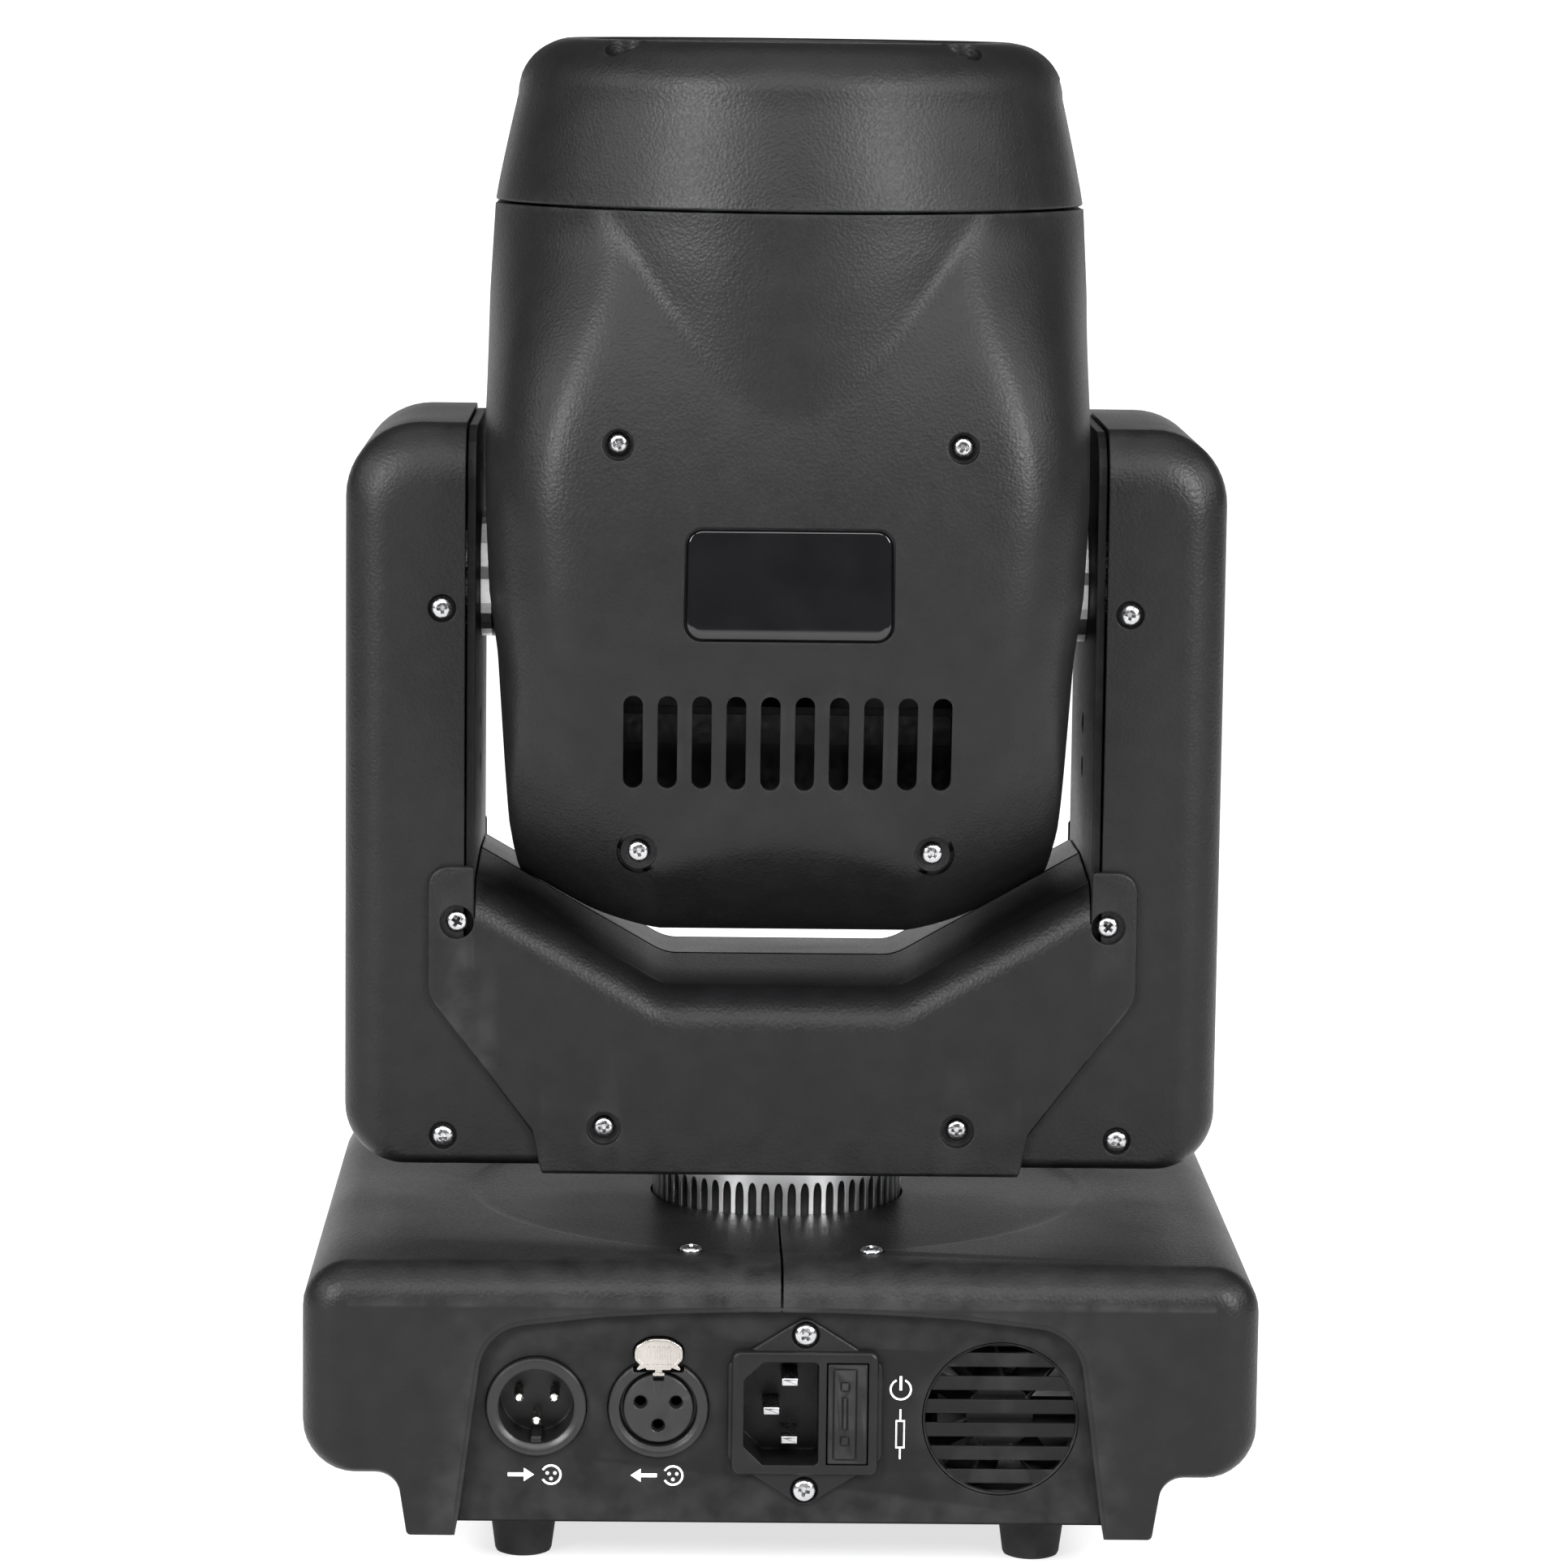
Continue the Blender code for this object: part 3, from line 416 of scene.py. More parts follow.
def solid(name, bm, look, body, steps=(), smooth=32, replaces=()):
    """A finished piece: booleans baked in, smooth shading, riding on its body."""
    made = raw(name, bm)
    tools = []
    for kind, shape in steps:
        tools.append(raw(name + "_tool", shape))
        step = made.modifiers.new(kind, "BOOLEAN")
        step.operation = {"cut": "DIFFERENCE", "join": "UNION"}[kind]
        step.solver = "EXACT"
        step.object = tools[-1]
    if made.modifiers:
        bpy.context.view_layer.update()
        graph = bpy.context.evaluated_depsgraph_get()
        baked = bpy.data.meshes.new_from_object(made.evaluated_get(graph), depsgraph=graph)
        made.modifiers.clear()
        old, made.data = made.data, baked
        bpy.data.meshes.remove(old)
    for tool in tools:
        mesh = tool.data
        bpy.data.objects.remove(tool, do_unlink=True)
        bpy.data.meshes.remove(mesh)
    mesh = made.data
    mesh.materials.clear()
    mesh.materials.append(look)
    shade(mesh, smooth)
    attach(made, body)
    for cad in replaces:
        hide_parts(cad)
    return made


def bead(name, points, radius, flat, look, body):
    """A fine rounded cord of plastic along a path of (x, y, z) points, flattened in y."""
    path = [Vector(p) for p in points]
    rings = []
    for i, here in enumerate(path):
        along = path[min(i + 1, len(path) - 1)] - path[max(i - 1, 0)]
        side = along.cross(Vector((0, 1, 0))).normalized()
        rings.append([here + side * a + Vector((0, flat * b, 0)) for a, b in circle(radius, 8)])
    return solid(name, loft(rings), look, body, smooth=60)


def facing(x, y, z, direction, unit=MM):
    """Puts something made along +Z at a point, turned to face a direction."""
    turn = Vector((0, 0, 1)).rotation_difference(Vector(direction)).to_matrix().to_4x4()
    return Matrix.Translation((x * unit, y * unit, z * unit)) @ turn


# one screw head, then copies of its mesh
def cross_recess(long, wide, deep, top):
    """Two slots at right angles, narrowing to their floors."""
    corners = ((-1, -1), (1, -1), (1, 1), (-1, 1))
    rows = ((long * 0.35 / 2, top - deep), (long / 2, top + 0.6))
    return [loft([[(wide * sx / 2, reach * sy, t) for sx, sy in corners] for reach, t in rows]),
            loft([[(reach * sx, wide * sy / 2, t) for sx, sy in corners] for reach, t in rows])]


def screw_mesh(name, r, high):
    profile = [(0, -1.5), (r * 0.5, -1.5), (r * 0.5, 0), (r * 0.96, 0), (r, 0.25 * high)]
    profile += [(r * math.cos(t) ** 0.7, high * (0.25 + 0.75 * math.sin(t)))
                for t in quarter(8, 1)[:-1]] + [(0, high)]
    arms = cross_recess(r * 1.3, r * 0.3, high * 0.85, high)
    return solid(name, lathe(profile, 40), STEEL, "base",
                 [("cut", arm) for arm in arms], 30)


SCREW = screw_mesh("screw_base_top_1", 2.7, 1.7)
screw_count = [1]


def screw(x, y, z, direction, body, label, scale=1.0):
    """The same screw again, turned further round than the one before."""
    made = linked(f"screw_{label}", SCREW.data)
    screw_count[0] += 1
    turn = Matrix.Rotation(0.3 + screw_count[0] * 0.7, 4, "Z")
    made.matrix_world = facing(x, y, z, direction) @ turn @ Matrix.Scale(scale, 4)
    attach(made, body)


def cup(name, x, y0, z, r, depth, direction, body):
    """The moulded well behind a counterbore, its floor carrying the screw."""
    well = lathe([(r, 0), (r, -depth), (0, -depth), (0, -depth - 1), (r + 1, -depth - 1),
                  (r + 1, 0)], 32)
    bmesh.ops.transform(well, matrix=facing(x, y0, z, direction, 1), verts=well.verts)
    solid(name, well, ABS, body)


# ---------------- base
def base_section(inset_by, side, low=LIP_BOTTOM, seam=0.3, top=None, wide=None, lift=0.0):
    top = BASE_TOP - inset_by if top is None else top
    wide = BASE_HALF_W - inset_by if wide is None else wide
    foot = min(LIP_BOTTOM, low - 0.01)
    line = soften([
        (seam, top, 0), (wide, top, max(11 - inset_by, 0.6)),
        (wide, SIDE_BOTTOM + lift + inset_by * 0.3, max(12 - inset_by * 0.8, 2)),
        (90.2 - lift, SIDE_BOTTOM + lift + inset_by * 0.3, 6 + lift),
        (87.7 - lift, foot, 0 if lift else 1.2), (seam, foot, 0)], 8)
    return sided(line, side)


def mirrored_rows(rings):
    """The same rings again at -y, in the order that carries the loft on."""
    return [[(x, -y, z) for x, y, z in ring] for ring in reversed(rings)]


def opening(low=5.0):
    """The arch that the connector panel and the display panel show through."""
    right = [(77.6, low), (76.4, 18)]
    right += soften([(76.4, 18, 0), (70.6, 62.0, 13), (30, 65.6, 0)], 10)[1:-1]
    for k in range(1, 9):
        x = 50 - 6.2 * k
        right.append((x, 66.5 - 2.9 * (x / 58) ** 2))
    return right + [(0, 66.5)] + mirror(right)


EDGE_R = 9.0
SCREW_X, SCREW_Y, SCREW_Z = 21.4, 73.5, 75.0  # of the four screws in the base's top
for tag, side in (("left", -1), ("right", 1)):
    rings = [[(a, -BASE_HALF_D, b) for a, b in base_section(EDGE_R + 0.7, side)]]
    for t in quarter(8)[::-1]:
        o, y = EDGE_R * (1 - math.cos(t)), -(BASE_HALF_D - EDGE_R + EDGE_R * math.sin(t))
        rings.append([(a, y, b) for a, b in base_section(o, side)])
    for y in (-60, -30, 0, 30, 60):
        rings.append([(a, y, b) for a, b in base_section(0, side)])
    rings += mirrored_rows(rings[:10])
    core_a = prism(base_section(WALL, side, 2, -4, lift=WALL), -87, 87, "y")
    core_b = prism(base_section(WALL, side, 2, -4, BASE_TOP - 7, BASE_HALF_W - 5, WALL),
                   -91.8, 91.8, "y")
    dish = lathe([(0, 60), (31.5, 60), (31.5, BASE_TOP - 0.7), (72.5, BASE_TOP - 0.7),
                  (74.5, BASE_TOP - 0.55), (76.0, BASE_TOP - 0.2), (77.2, BASE_TOP + 0.1),
                  (77.2, 90), (0, 90)], 128)
    wells = [lathe([(0, 74.8), (3.2, 74.8), (3.7, 76), (3.7, 90), (0, 90)], 32, "z",
                   side * SCREW_X, y) for y in (-SCREW_Y, SCREW_Y)]
    solid(f"base_skin_{tag}", loft(rings), ABS, "base",
          [("cut", core_a), ("cut", core_b), ("cut", prism(opening(), -99, -91, "y")),
           ("cut", prism(opening(), 91, 99, "y")), ("cut", dish), ("cut", merged(wells))],
          28, [f"base_shell_{tag}"])
    for end, sy in (("rear", -1), ("front", 1)):
        path = [(a, sy * 94.6, b) for a, b in opening(11.4) if a * side > 0.3]
        path.insert(0 if side < 0 else len(path), (side * 0.4, sy * 94.6, 66.5))
        bead(f"{end}_lip_{tag}", path, 1.15, 0.32, ABS, "base")

SCREW.matrix_world = facing(-SCREW_X, -SCREW_Y, SCREW_Z, (0, 0, 1))
for k, (sx, sy) in enumerate(((1, -1), (-1, 1), (1, 1))):
    screw(sx * SCREW_X, sy * SCREW_Y, SCREW_Z, (0, 0, 1), "base", f"base_top_{k + 2}")

# feet
profile = [(0, 1.2), (2.6, 1.2), (2.9, 0.3), (3.4, 0.05), (5.9, 0.0), (6.5, 0.25),
           (6.8, 0.9), (8.2, 11.4), (8.35, 12.4), (8.1, 13.0), (0, 13.0)]
for end, sy in (("rear", -1), ("front", 1)):
    for tag, sx in (("left", -1), ("right", 1)):
        solid(f"foot_skin_{end}_{tag}", lathe(profile, 56, "z", sx * 61, sy * 66), RUBBER,
              "base", (), 30, [f"foot_{end}_{tag}"])

# rear panel
TAB = soften([(-34.5, 53.4, 1.6), (-32.6, 51.5, 1.5), (-25.0, 51.5, 1.5), (-23.1, 53.4, 1.6),
              (-23.1, 56.4, 2.2), (-26.4, 58.5, 5.0), (-31.2, 58.5, 5.0), (-34.5, 56.4, 2.2)],
             5)
PANEL = soften([(-75.6, 14.2, 0.6), (75.6, 14.2, 0.6), (75.6, 52, 4), (71, 63, 4),
                (45, 67.6, 10), (0, 69.5, 30), (-45, 67.6, 10), (-71, 63, 4),
                (-75.6, 52, 4)], 4)


THROUGH = (-95, -85)  # the span in y of a cut through the rear panel


def fan_slots():
    shapes = []
    for k in range(-3, 4):
        heights = [k * 5.62 - 1.15 + 2.3 * t / 8 for t in range(9)]
        right = [(math.sqrt(17.7 ** 2 - z ** 2), z) for z in heights if abs(z) < 17.6]
        shapes.append(prism([(FAN[0] + a, FAN[1] + b) for a, b in right + mirror(right)],
                            *THROUGH, "y"))
    return merged(shapes)


solid("rear_panel_skin", prism(PANEL, -PANEL_FACE, -PANEL_BACK, "y"), PAINT, "base",
      [("cut", merged([rod(11.95, *THROUGH, "y", *XLR_IN, 64),
                       rod(11.95, *THROUGH, "y", *XLR_OUT, 64),
                       rod(18.5, *THROUGH, "y", *FAN, 96),
                       box(INLET[0] - 15.3, INLET[0] + 16.1, *THROUGH, 26.5, 55.5)])),
       ("cut", prism(inset(TAB, -0.25), *THROUGH, "y")),
       ("cut", box(-33.2, -24.4, *THROUGH, 50.6, 54, 0, "y"))],
      30, ["rear_panel"])
disc = lathe([(0, -90.0), (18.25, -90.0), (18.25, -91.55), (17.75, -91.0), (17.7, -90.75),
              (0, -90.75)], 96, "y", *FAN)
solid("fan_louvre", disc, PAINT, "base", [("cut", fan_slots())], 30,
      ["fan_grille"])

# signal sockets
RING = [(0, -70), (11.4, -70), (11.4, -90), (11.75, -90), (11.75, -92.9), (11.5, -93.25),
        (11.1, -93.4), (10.5, -93.4), (10.1, -93.2), (9.2, -92.9)]
profile = RING + [(8.9, -92.6), (8.8, -80), (0, -80)]
solid("signal_in_body", lathe(profile, 80, "y", *XLR_IN), INSERT, "base",
      [("join", box(XLR_IN[0] - 1.2, XLR_IN[0] + 1.2, -91, -79, XLR_IN[1] - 9.3,
                    XLR_IN[1] - 7.6, 0.3, "y"))], 30, ["dmx_in_socket"])
pin = [(0, -79), (1.2, -79), (1.2, -89.6), (1.05, -90.2), (0.6, -90.6), (0, -90.7)]
CONTACTS = ((-4.2, 1.5), (4.2, 1.5), (0, -4.1))
for k, (dx, dz) in enumerate(CONTACTS):
    solid(f"signal_pin_{k + 1}", lathe(pin, 24, "y", XLR_IN[0] + dx, XLR_IN[1] + dz), BRASS,
          "base")

profile = RING + [(9.1, -92.6), (9.0, -89.8), (8.3, -89.8), (8.25, -92.2), (8.0, -92.6),
                  (0, -92.7)]
holes = [lathe([(0, -84), (1.35, -84), (1.35, -92.0), (1.9, -93), (1.9, -95), (0, -95)], 24,
               "y", XLR_OUT[0] + dx, XLR_OUT[1] + dz) for dx, dz in CONTACTS]
key = [box(XLR_OUT[0] - 1.3, XLR_OUT[0] + 1.3, -95, -90.5, XLR_OUT[1] + 6.6,
           XLR_OUT[1] + 8.6, 0.3, "y")]
notch = box(XLR_OUT[0] - 6.0, XLR_OUT[0] + 6.0, -95, -88.2, 50.3, 55, 0.8, "y")
solid("signal_out_body", lathe(profile, 80, "y", *XLR_OUT), INSERT, "base",
      [("cut", merged(holes + key)), ("cut", notch)], 30, ["dmx_out_socket"])

solid("latch_tab", prism(TAB, -93.4, -91.9, "y", 0.35, 0.3), NICKEL, "latch",
      [("cut", prism(inset(TAB, 0.75), -93.6, -93.2, "y"))], 30, ["dmx_out_latch"])
solid("latch_ridges", merged([box(-31.5 + 1.2 * k, -30.9 + 1.2 * k, -93.45, -93.15, 53.6, 56.5,
                                  0.1, "y") for k in range(5)]), NICKEL, "latch")
wings = [(-34.0, 51.2, 0.15), (-33.6, 50.9, 0.15), (-31.9, 51.5, 0.2), (-31.6, 51.0, 0.2),
         (-26.0, 51.0, 0.2), (-25.7, 51.5, 0.2), (-24.0, 50.9, 0.15), (-23.6, 51.2, 0.15),
         (-24.8, 52.6, 0.3), (-32.8, 52.6, 0.3)]
solid("latch_wings", prism(soften(wings, 3), -93.3, -92.2, "y", 0.12, 0), NICKEL, "latch")
solid("latch_stem", box(-30.8, -26.8, -92.1, -84, 54.6, 57.8, 0.5, "y"), NICKEL, "latch")
solid("latch_tongue", box(-30.2, -27.4, -92.7, -90.9, 49.4, 50.2, 0.3, "y", 0.15), NICKEL,
      "latch", [("join", box(-29.6, -28.0, -92.4, -91.6, 50.0, 51.3))])

# mains inlet
flange = soften([(-12.6, 29.4, 3), (1.6, 20.4, 3), (5.7, 18.1, 3.4), (9.8, 20.4, 3),
                 (24.0, 29.4, 3), (24.0, 52.6, 3), (9.8, 61.6, 3), (5.7, 63.9, 3.4),
                 (1.6, 61.6, 3), (-12.6, 52.6, 3)], 5)
cavity = soften([(-4.2, 28.6, 1.2), (8.9, 28.6, 1.2), (8.9, 53.4, 1.2), (-4.2, 53.4, 1.2),
                 (-8.8, 49.0, 1.2), (-8.8, 33.0, 1.2)], 4)
sinks = [lathe([(0, -91.2), (1.7, -91.2), (3.3, -92.6), (3.3, -96), (0, -96)], 32, "y",
               INLET[0], z) for z in (59.6, 22.2)]
solid("inlet_frame", prism(flange, -93.0, -91.7, "y", 0.7, 0), ABS_FINE, "base",
      [("join", prism(rect(-11.6, 22.9, 26.1, 55.9, 2.2), -94.6, -92.2, "y", 0.9, 0)),
       ("join", box(-9.3, 21.5, -92.4, -66, 26.8, 55.2, 0.8, "y")),
       ("cut", prism(cavity, -96, -79, "y")),
       ("cut", box(10.7, 20.6, -96, -70.5, 28.7, 53.3)),
       ("cut", merged(sinks))], 30, ["power_inlet"])
for k, (x, z) in enumerate(((2.1, 48), (2.1, 34), (-2.2, 41))):
    solid(f"mains_pin_{k + 1}", box(x - 2, x + 2, -92.0, -78.5, z - 1, z + 1, 0.35, "y", 0.45),
          STEEL, "base")
for k, z in enumerate((59.6, 22.2)):
    screw(INLET[0], -92.2, z, (0, -1, 0), "base", f"inlet_{k + 1}", 1.02)

grooves = []
for x0, x1, z0, z1 in ((12.2, 17.9, 29.9, 52.0), (13.9, 16.2, 46.4, 48.9),
                       (13.9, 16.2, 33.3, 35.8), (14.3, 15.8, 37.0, 45.2)):
    wide = rect(x0, x1, z0, z1, 0.3, 3)
    slim = rect(x0 + 0.4, x1 - 0.4, z0 + 0.4, z1 - 0.4, 0.2, 3)
    rows = ((-96, wide), (-94.62, wide), (-94.62, slim), (-96, slim))
    grooves.append(("cut", loft([[(a, y, b) for a, b in line] for y, line in rows], True)))
solid("fuse_carrier", box(11, 20.3, -94.9, -71, 29, 53, 0.5, "y", 0.35), ABS_FINE, "fuse",
      [("cut", box(12.6, 25, -92.5, -73, 32, 50))] + grooves, 30,
      ["fuse_drawer"])
fuse = [(0, -91.9), (2.3, -91.9), (2.4, -91.7), (2.4, -86.2), (2.2, -86.0), (2.2, -79.6),
        (2.4, -79.4), (2.4, -73.9), (2.3, -73.7), (0, -73.7)]
solid("fuse_link", lathe(fuse, 28, "y", 16.4, 44), STEEL, "fuse")


def printed(name, shapes, y=-91.65):
    """Flat printed marks on the panel: pictograms only."""
    return solid(name, merged([prism(line, y - 0.06, y + 0.1, "y") for line in shapes]),
                 WHITE, "base", smooth=20)


def arrow(cx, cz, way):
    """An arrow going into or out of a round socket."""
    return [(cx + a * way, cz + b) for a, b in (
        (-3.2, -0.45), (0.6, -0.45), (0.6, -1.6), (3.0, 0), (0.6, 1.6), (0.6, 0.45),
        (-3.2, 0.45))]


def ring_arc(cx, cz, r, wide, start, end):
    """A ring from one angle to another, in degrees."""
    turns = [math.radians(start + (end - start) * k / 14) for k in range(15)]
    return [(cx + s * math.cos(t), cz + s * math.sin(t))
            for s, path in ((r + wide, turns), (r, turns[::-1])) for t in path]


for label, (cx, _), way in (("in", XLR_IN, 1), ("out", XLR_OUT, -1)):
    marks = [arrow(cx - 3.4, 25.2, way),
             ring_arc(cx + 3.6, 25.2, 2.0, 0.5, -150, 150)]
    marks += [circle(0.42, 12, cx + 3.6 + a, 25.2 + b) for a, b in
              ((-0.9, 0.4), (0.9, 0.4), (0, -0.95))]
    printed(f"mark_signal_{label}", marks)
MAINS_X = 28.2
printed("mark_mains", [ring_arc(MAINS_X, 46.4, 2.2, 0.45, 115, 425)] + [
    rect(MAINS_X + x0, MAINS_X + x1, z0, z1) for x0, x1, z0, z1 in (
        (-0.3, 0.3, 46.2, 49.6), (-1.1, -0.75, 32.6, 38.6), (0.75, 1.1, 32.6, 38.6),
        (-1.1, 1.1, 32.2, 32.6), (-1.1, 1.1, 38.6, 39.0), (-0.2, 0.2, 29.6, 32.2),
        (-0.2, 0.2, 39.0, 41.6))])

# front panel: display window, buttons
DISPLAY, BUTTONS = (-26.0, 42.0), (20.0, 33.0, 46.0, 59.0)
solid("front_panel_skin", prism(PANEL, PANEL_BACK, PANEL_FACE, "y"), PAINT, "base",
      [("cut", pane(DISPLAY, 25.4, 13.4, 85, 95, 1.0)),
       ("cut", merged([rod(4.55, 85, 95, "y", x, 42, 40) for x in BUTTONS]))], 30,
      ["front_panel"])
solid("display_lens", pane(DISPLAY, 25.0, 13.0, 87, 91.3, 0.9, 0.5), SCREEN, "base",
      [("join", pane(DISPLAY, 28, 17, 85, 89.6, 1))], 30, ["display"])
bars = [rect(DISPLAY[0] - 22.6, DISPLAY[0] + 22.6, DISPLAY[1] + low, DISPLAY[1] + low + 0.3)
        for low in (10.4, -10.7)]
bars += [rect(DISPLAY[0] - 18 + 5 * k, DISPLAY[0] - 15.4 + 5 * k, DISPLAY[1] - 6,
              DISPLAY[1] - 6 + high) for k, high in enumerate((3, 5, 8, 11, 9, 6, 4, 2))]
LIT = simple("display_segments", (0.10, 0.42, 0.62), 0.4, Emission_Color=(0.1, 0.5, 0.8, 1),
             Emission_Strength=0.25)
solid("display_marks", merged([prism(line, 91.25, 91.36, "y") for line in bars]),
      LIT, "base", smooth=20)
profile = [(0, 86.4), (5.4, 86.4), (5.4, 88.2), (4.2, 88.2), (4.2, 92.9), (4.0, 93.4),
           (3.5, 93.6), (2.6, 93.45), (0, 93.2)]
for k, x in enumerate(BUTTONS):
    solid(f"button_cap_{k + 1}", lathe(profile, 40, "y", x, 42), ABS_FINE, f"button_{k + 1}",
          (), 30, [f"menu_button_{k + 1}"])
for k, (x, turn) in enumerate(zip(BUTTONS, (90, -90, 0, 180))):
    cos, sin = math.cos(math.radians(turn)), math.sin(math.radians(turn))
    line = [(x + a * cos - b * sin, 52 + a * sin + b * cos)
            for a, b in ((-1.5, -0.9), (1.5, -0.9), (0, 1.5))]
    solid(f"mark_button_{k + 1}", prism(line, 91.55, 91.68, "y"), WHITE, "base",
          smooth=20)
for k, (x, z) in enumerate(((-69, 20), (69, 20), (-66, 56), (66, 56))):
    screw(x, PANEL_FACE, z, (0, 1, 0), "base", f"front_{k + 1}", 0.8)

# ---------------- pan hub
def gear_skin():
    """The belt drum: sixty slots, each with a rounded top."""
    teeth, rows = 60, []
    heights = [57, 57.5, 66, 74, 77, 79.5, *(79.5 + 3.2 * math.sin(t) for t in quarter(12, 1)),
               82.8, 84, 88]
    for z in heights:
        rise = max(z - 79.5, 0) / 3.2
        half = 0.31 * math.sqrt(max(1 - rise * rise, 0)) if rise < 1 else 0.0
        deep = 1.35 if half > 0.01 and z > 57 else 0.0
        half = max(half, 0.004)
        across = ((-0.5, 0), (-0.25 - half / 2, 0), (-half - 0.02, 0), (-half - 0.004, 0.1),
                  (-half + 0.003, 1), (-half * 0.5, 1), (0, 1), (half * 0.5, 1),
                  (half - 0.003, 1), (half + 0.004, 0.1), (half + 0.02, 0),
                  (0.25 + half / 2, 0))
        ring = []
        for k in range(teeth):
            for off, share in across:
                t = 2 * math.pi * (k + off) / teeth
                r = 31 - deep * share
                ring.append((r * math.cos(t), r * math.sin(t), z))
        rows.append(ring)
    around = [math.atan2(y, x) for x, y, _ in rows[0]]
    ends = [[(r * math.cos(t), r * math.sin(t), z) for t in around]
            for r, z in ((6, 57), (29, 57), (31, 89.6), (30.8, 90), (40, 90), (40, 91.7),
                         (6, 91.7))]
    return loft(ends[:2] + rows + ends[2:], closed_rows=True)


solid("pan_drum", gear_skin(), ALU, "yoke", (), 28, ["pan_hub"])
# a dark powder-coat sleeve just inside the drum shows at the floors of its slots: painted shade
# in the slots
solid("drum_slot_shade", lathe([(28, 58), (30.3, 58), (30.3, 83.6), (28, 83.6)], 96, closed=True),
      PAINT, "yoke")
solid("pan_spindle", lathe([(6, 22), (8.7, 22), (8.7, 57), (6, 57)], 48, closed=True), ALU,
      "yoke")

# ---------------- yoke arms
def arm_outline(o, side):
    line = soften([(ARM_IN, ARM_TOP - o * 1.45, 0),
                   (ARM_OUT - o, ARM_TOP - o * 1.45, 18 - o * 0.9),
                   (ARM_OUT - o, ARM_BOTTOM + o * 0.35, 14.5 - o * 0.8),
                   (56, ARM_BOTTOM + o * 0.35, 0), (57, 96, 3), (ARM_IN, 124, 3)], 12)
    return sided(line, side)


ARM_SCREWS, SADDLE_SCREWS = ((82.4, 224.7), (81.7, 96.3)), ((78.5, 149), (42.8, 98.7))


for tag, side in (("left", -1), ("right", 1)):
    rings = [[(a, -ARM_HALF_D, b) for a, b in arm_outline(11.1, side)]]
    for t in quarter(12)[::-1]:
        o, y = 10.5 * (1 - math.cos(t)), -(ARM_HALF_D - 10.5 + 10.5 * math.sin(t))
        rings.append([(a, y, b) for a, b in arm_outline(o, side)])
    for y in (-16, 0, 16):
        rings.append([(a, y, b) for a, b in arm_outline(0, side)])
    rings += mirrored_rows(rings[:14])
    cores = []
    for wide, top, reach in ((ARM_OUT - WALL, ARM_TOP - WALL, 35.0),
                             (ARM_OUT - 6, ARM_TOP - 8, 40.0)):
        line = soften([(40, top, 0), (wide, top, 13), (wide, ARM_BOTTOM + 3.2, 9),
                       (40, ARM_BOTTOM + 3.2, 0)], 8)
        cores.append(("cut", prism(sided(line, side), -reach, reach, "y")))
    dimples = []
    for sy in (-1, 1):
        profile = [(0, sy * 41.2), (2.9, sy * 41.2), (3.5, sy * 42.6), (3.5, sy * 44),
                   (0, sy * 44)]
        dimples += [lathe(profile, 32, "y", side * x, z) for x, z in ARM_SCREWS]
    solid(f"arm_skin_{tag}", loft(rings), ABS, "yoke",
          cores + [("cut", merged(dimples))], 28, [f"arm_cover_{tag}"])
    for end, sy in (("rear", -1), ("front", 1)):
        for k, (x, z) in enumerate(ARM_SCREWS):
            screw(side * x, sy * 41.4, z, (0, sy, 0), "yoke", f"arm_{tag}_{end}_{k + 1}", 0.95)


# ---------------- saddle covers
def rim_z(x):
    """Height of the saddle's top, eased at its two bends."""
    slope, soft = 26 / 45.6, 3.0
    past = min(abs(x), 74.1) - 28.5
    if abs(past) > soft:
        return 134 + slope * max(past, 0)
    return 134 + slope * (past + soft) ** 2 / (4 * soft)


def saddle_bottom(x):
    x = abs(x)
    if x <= 57.5:
        return 87.5
    if x <= 60.5:
        t = (x - 57.5) / 3
        return 87.5 + 10.7 * t * t * (3 - 2 * t)
    return 98.2 + (x - 60.5) * 33.0 / 25.0


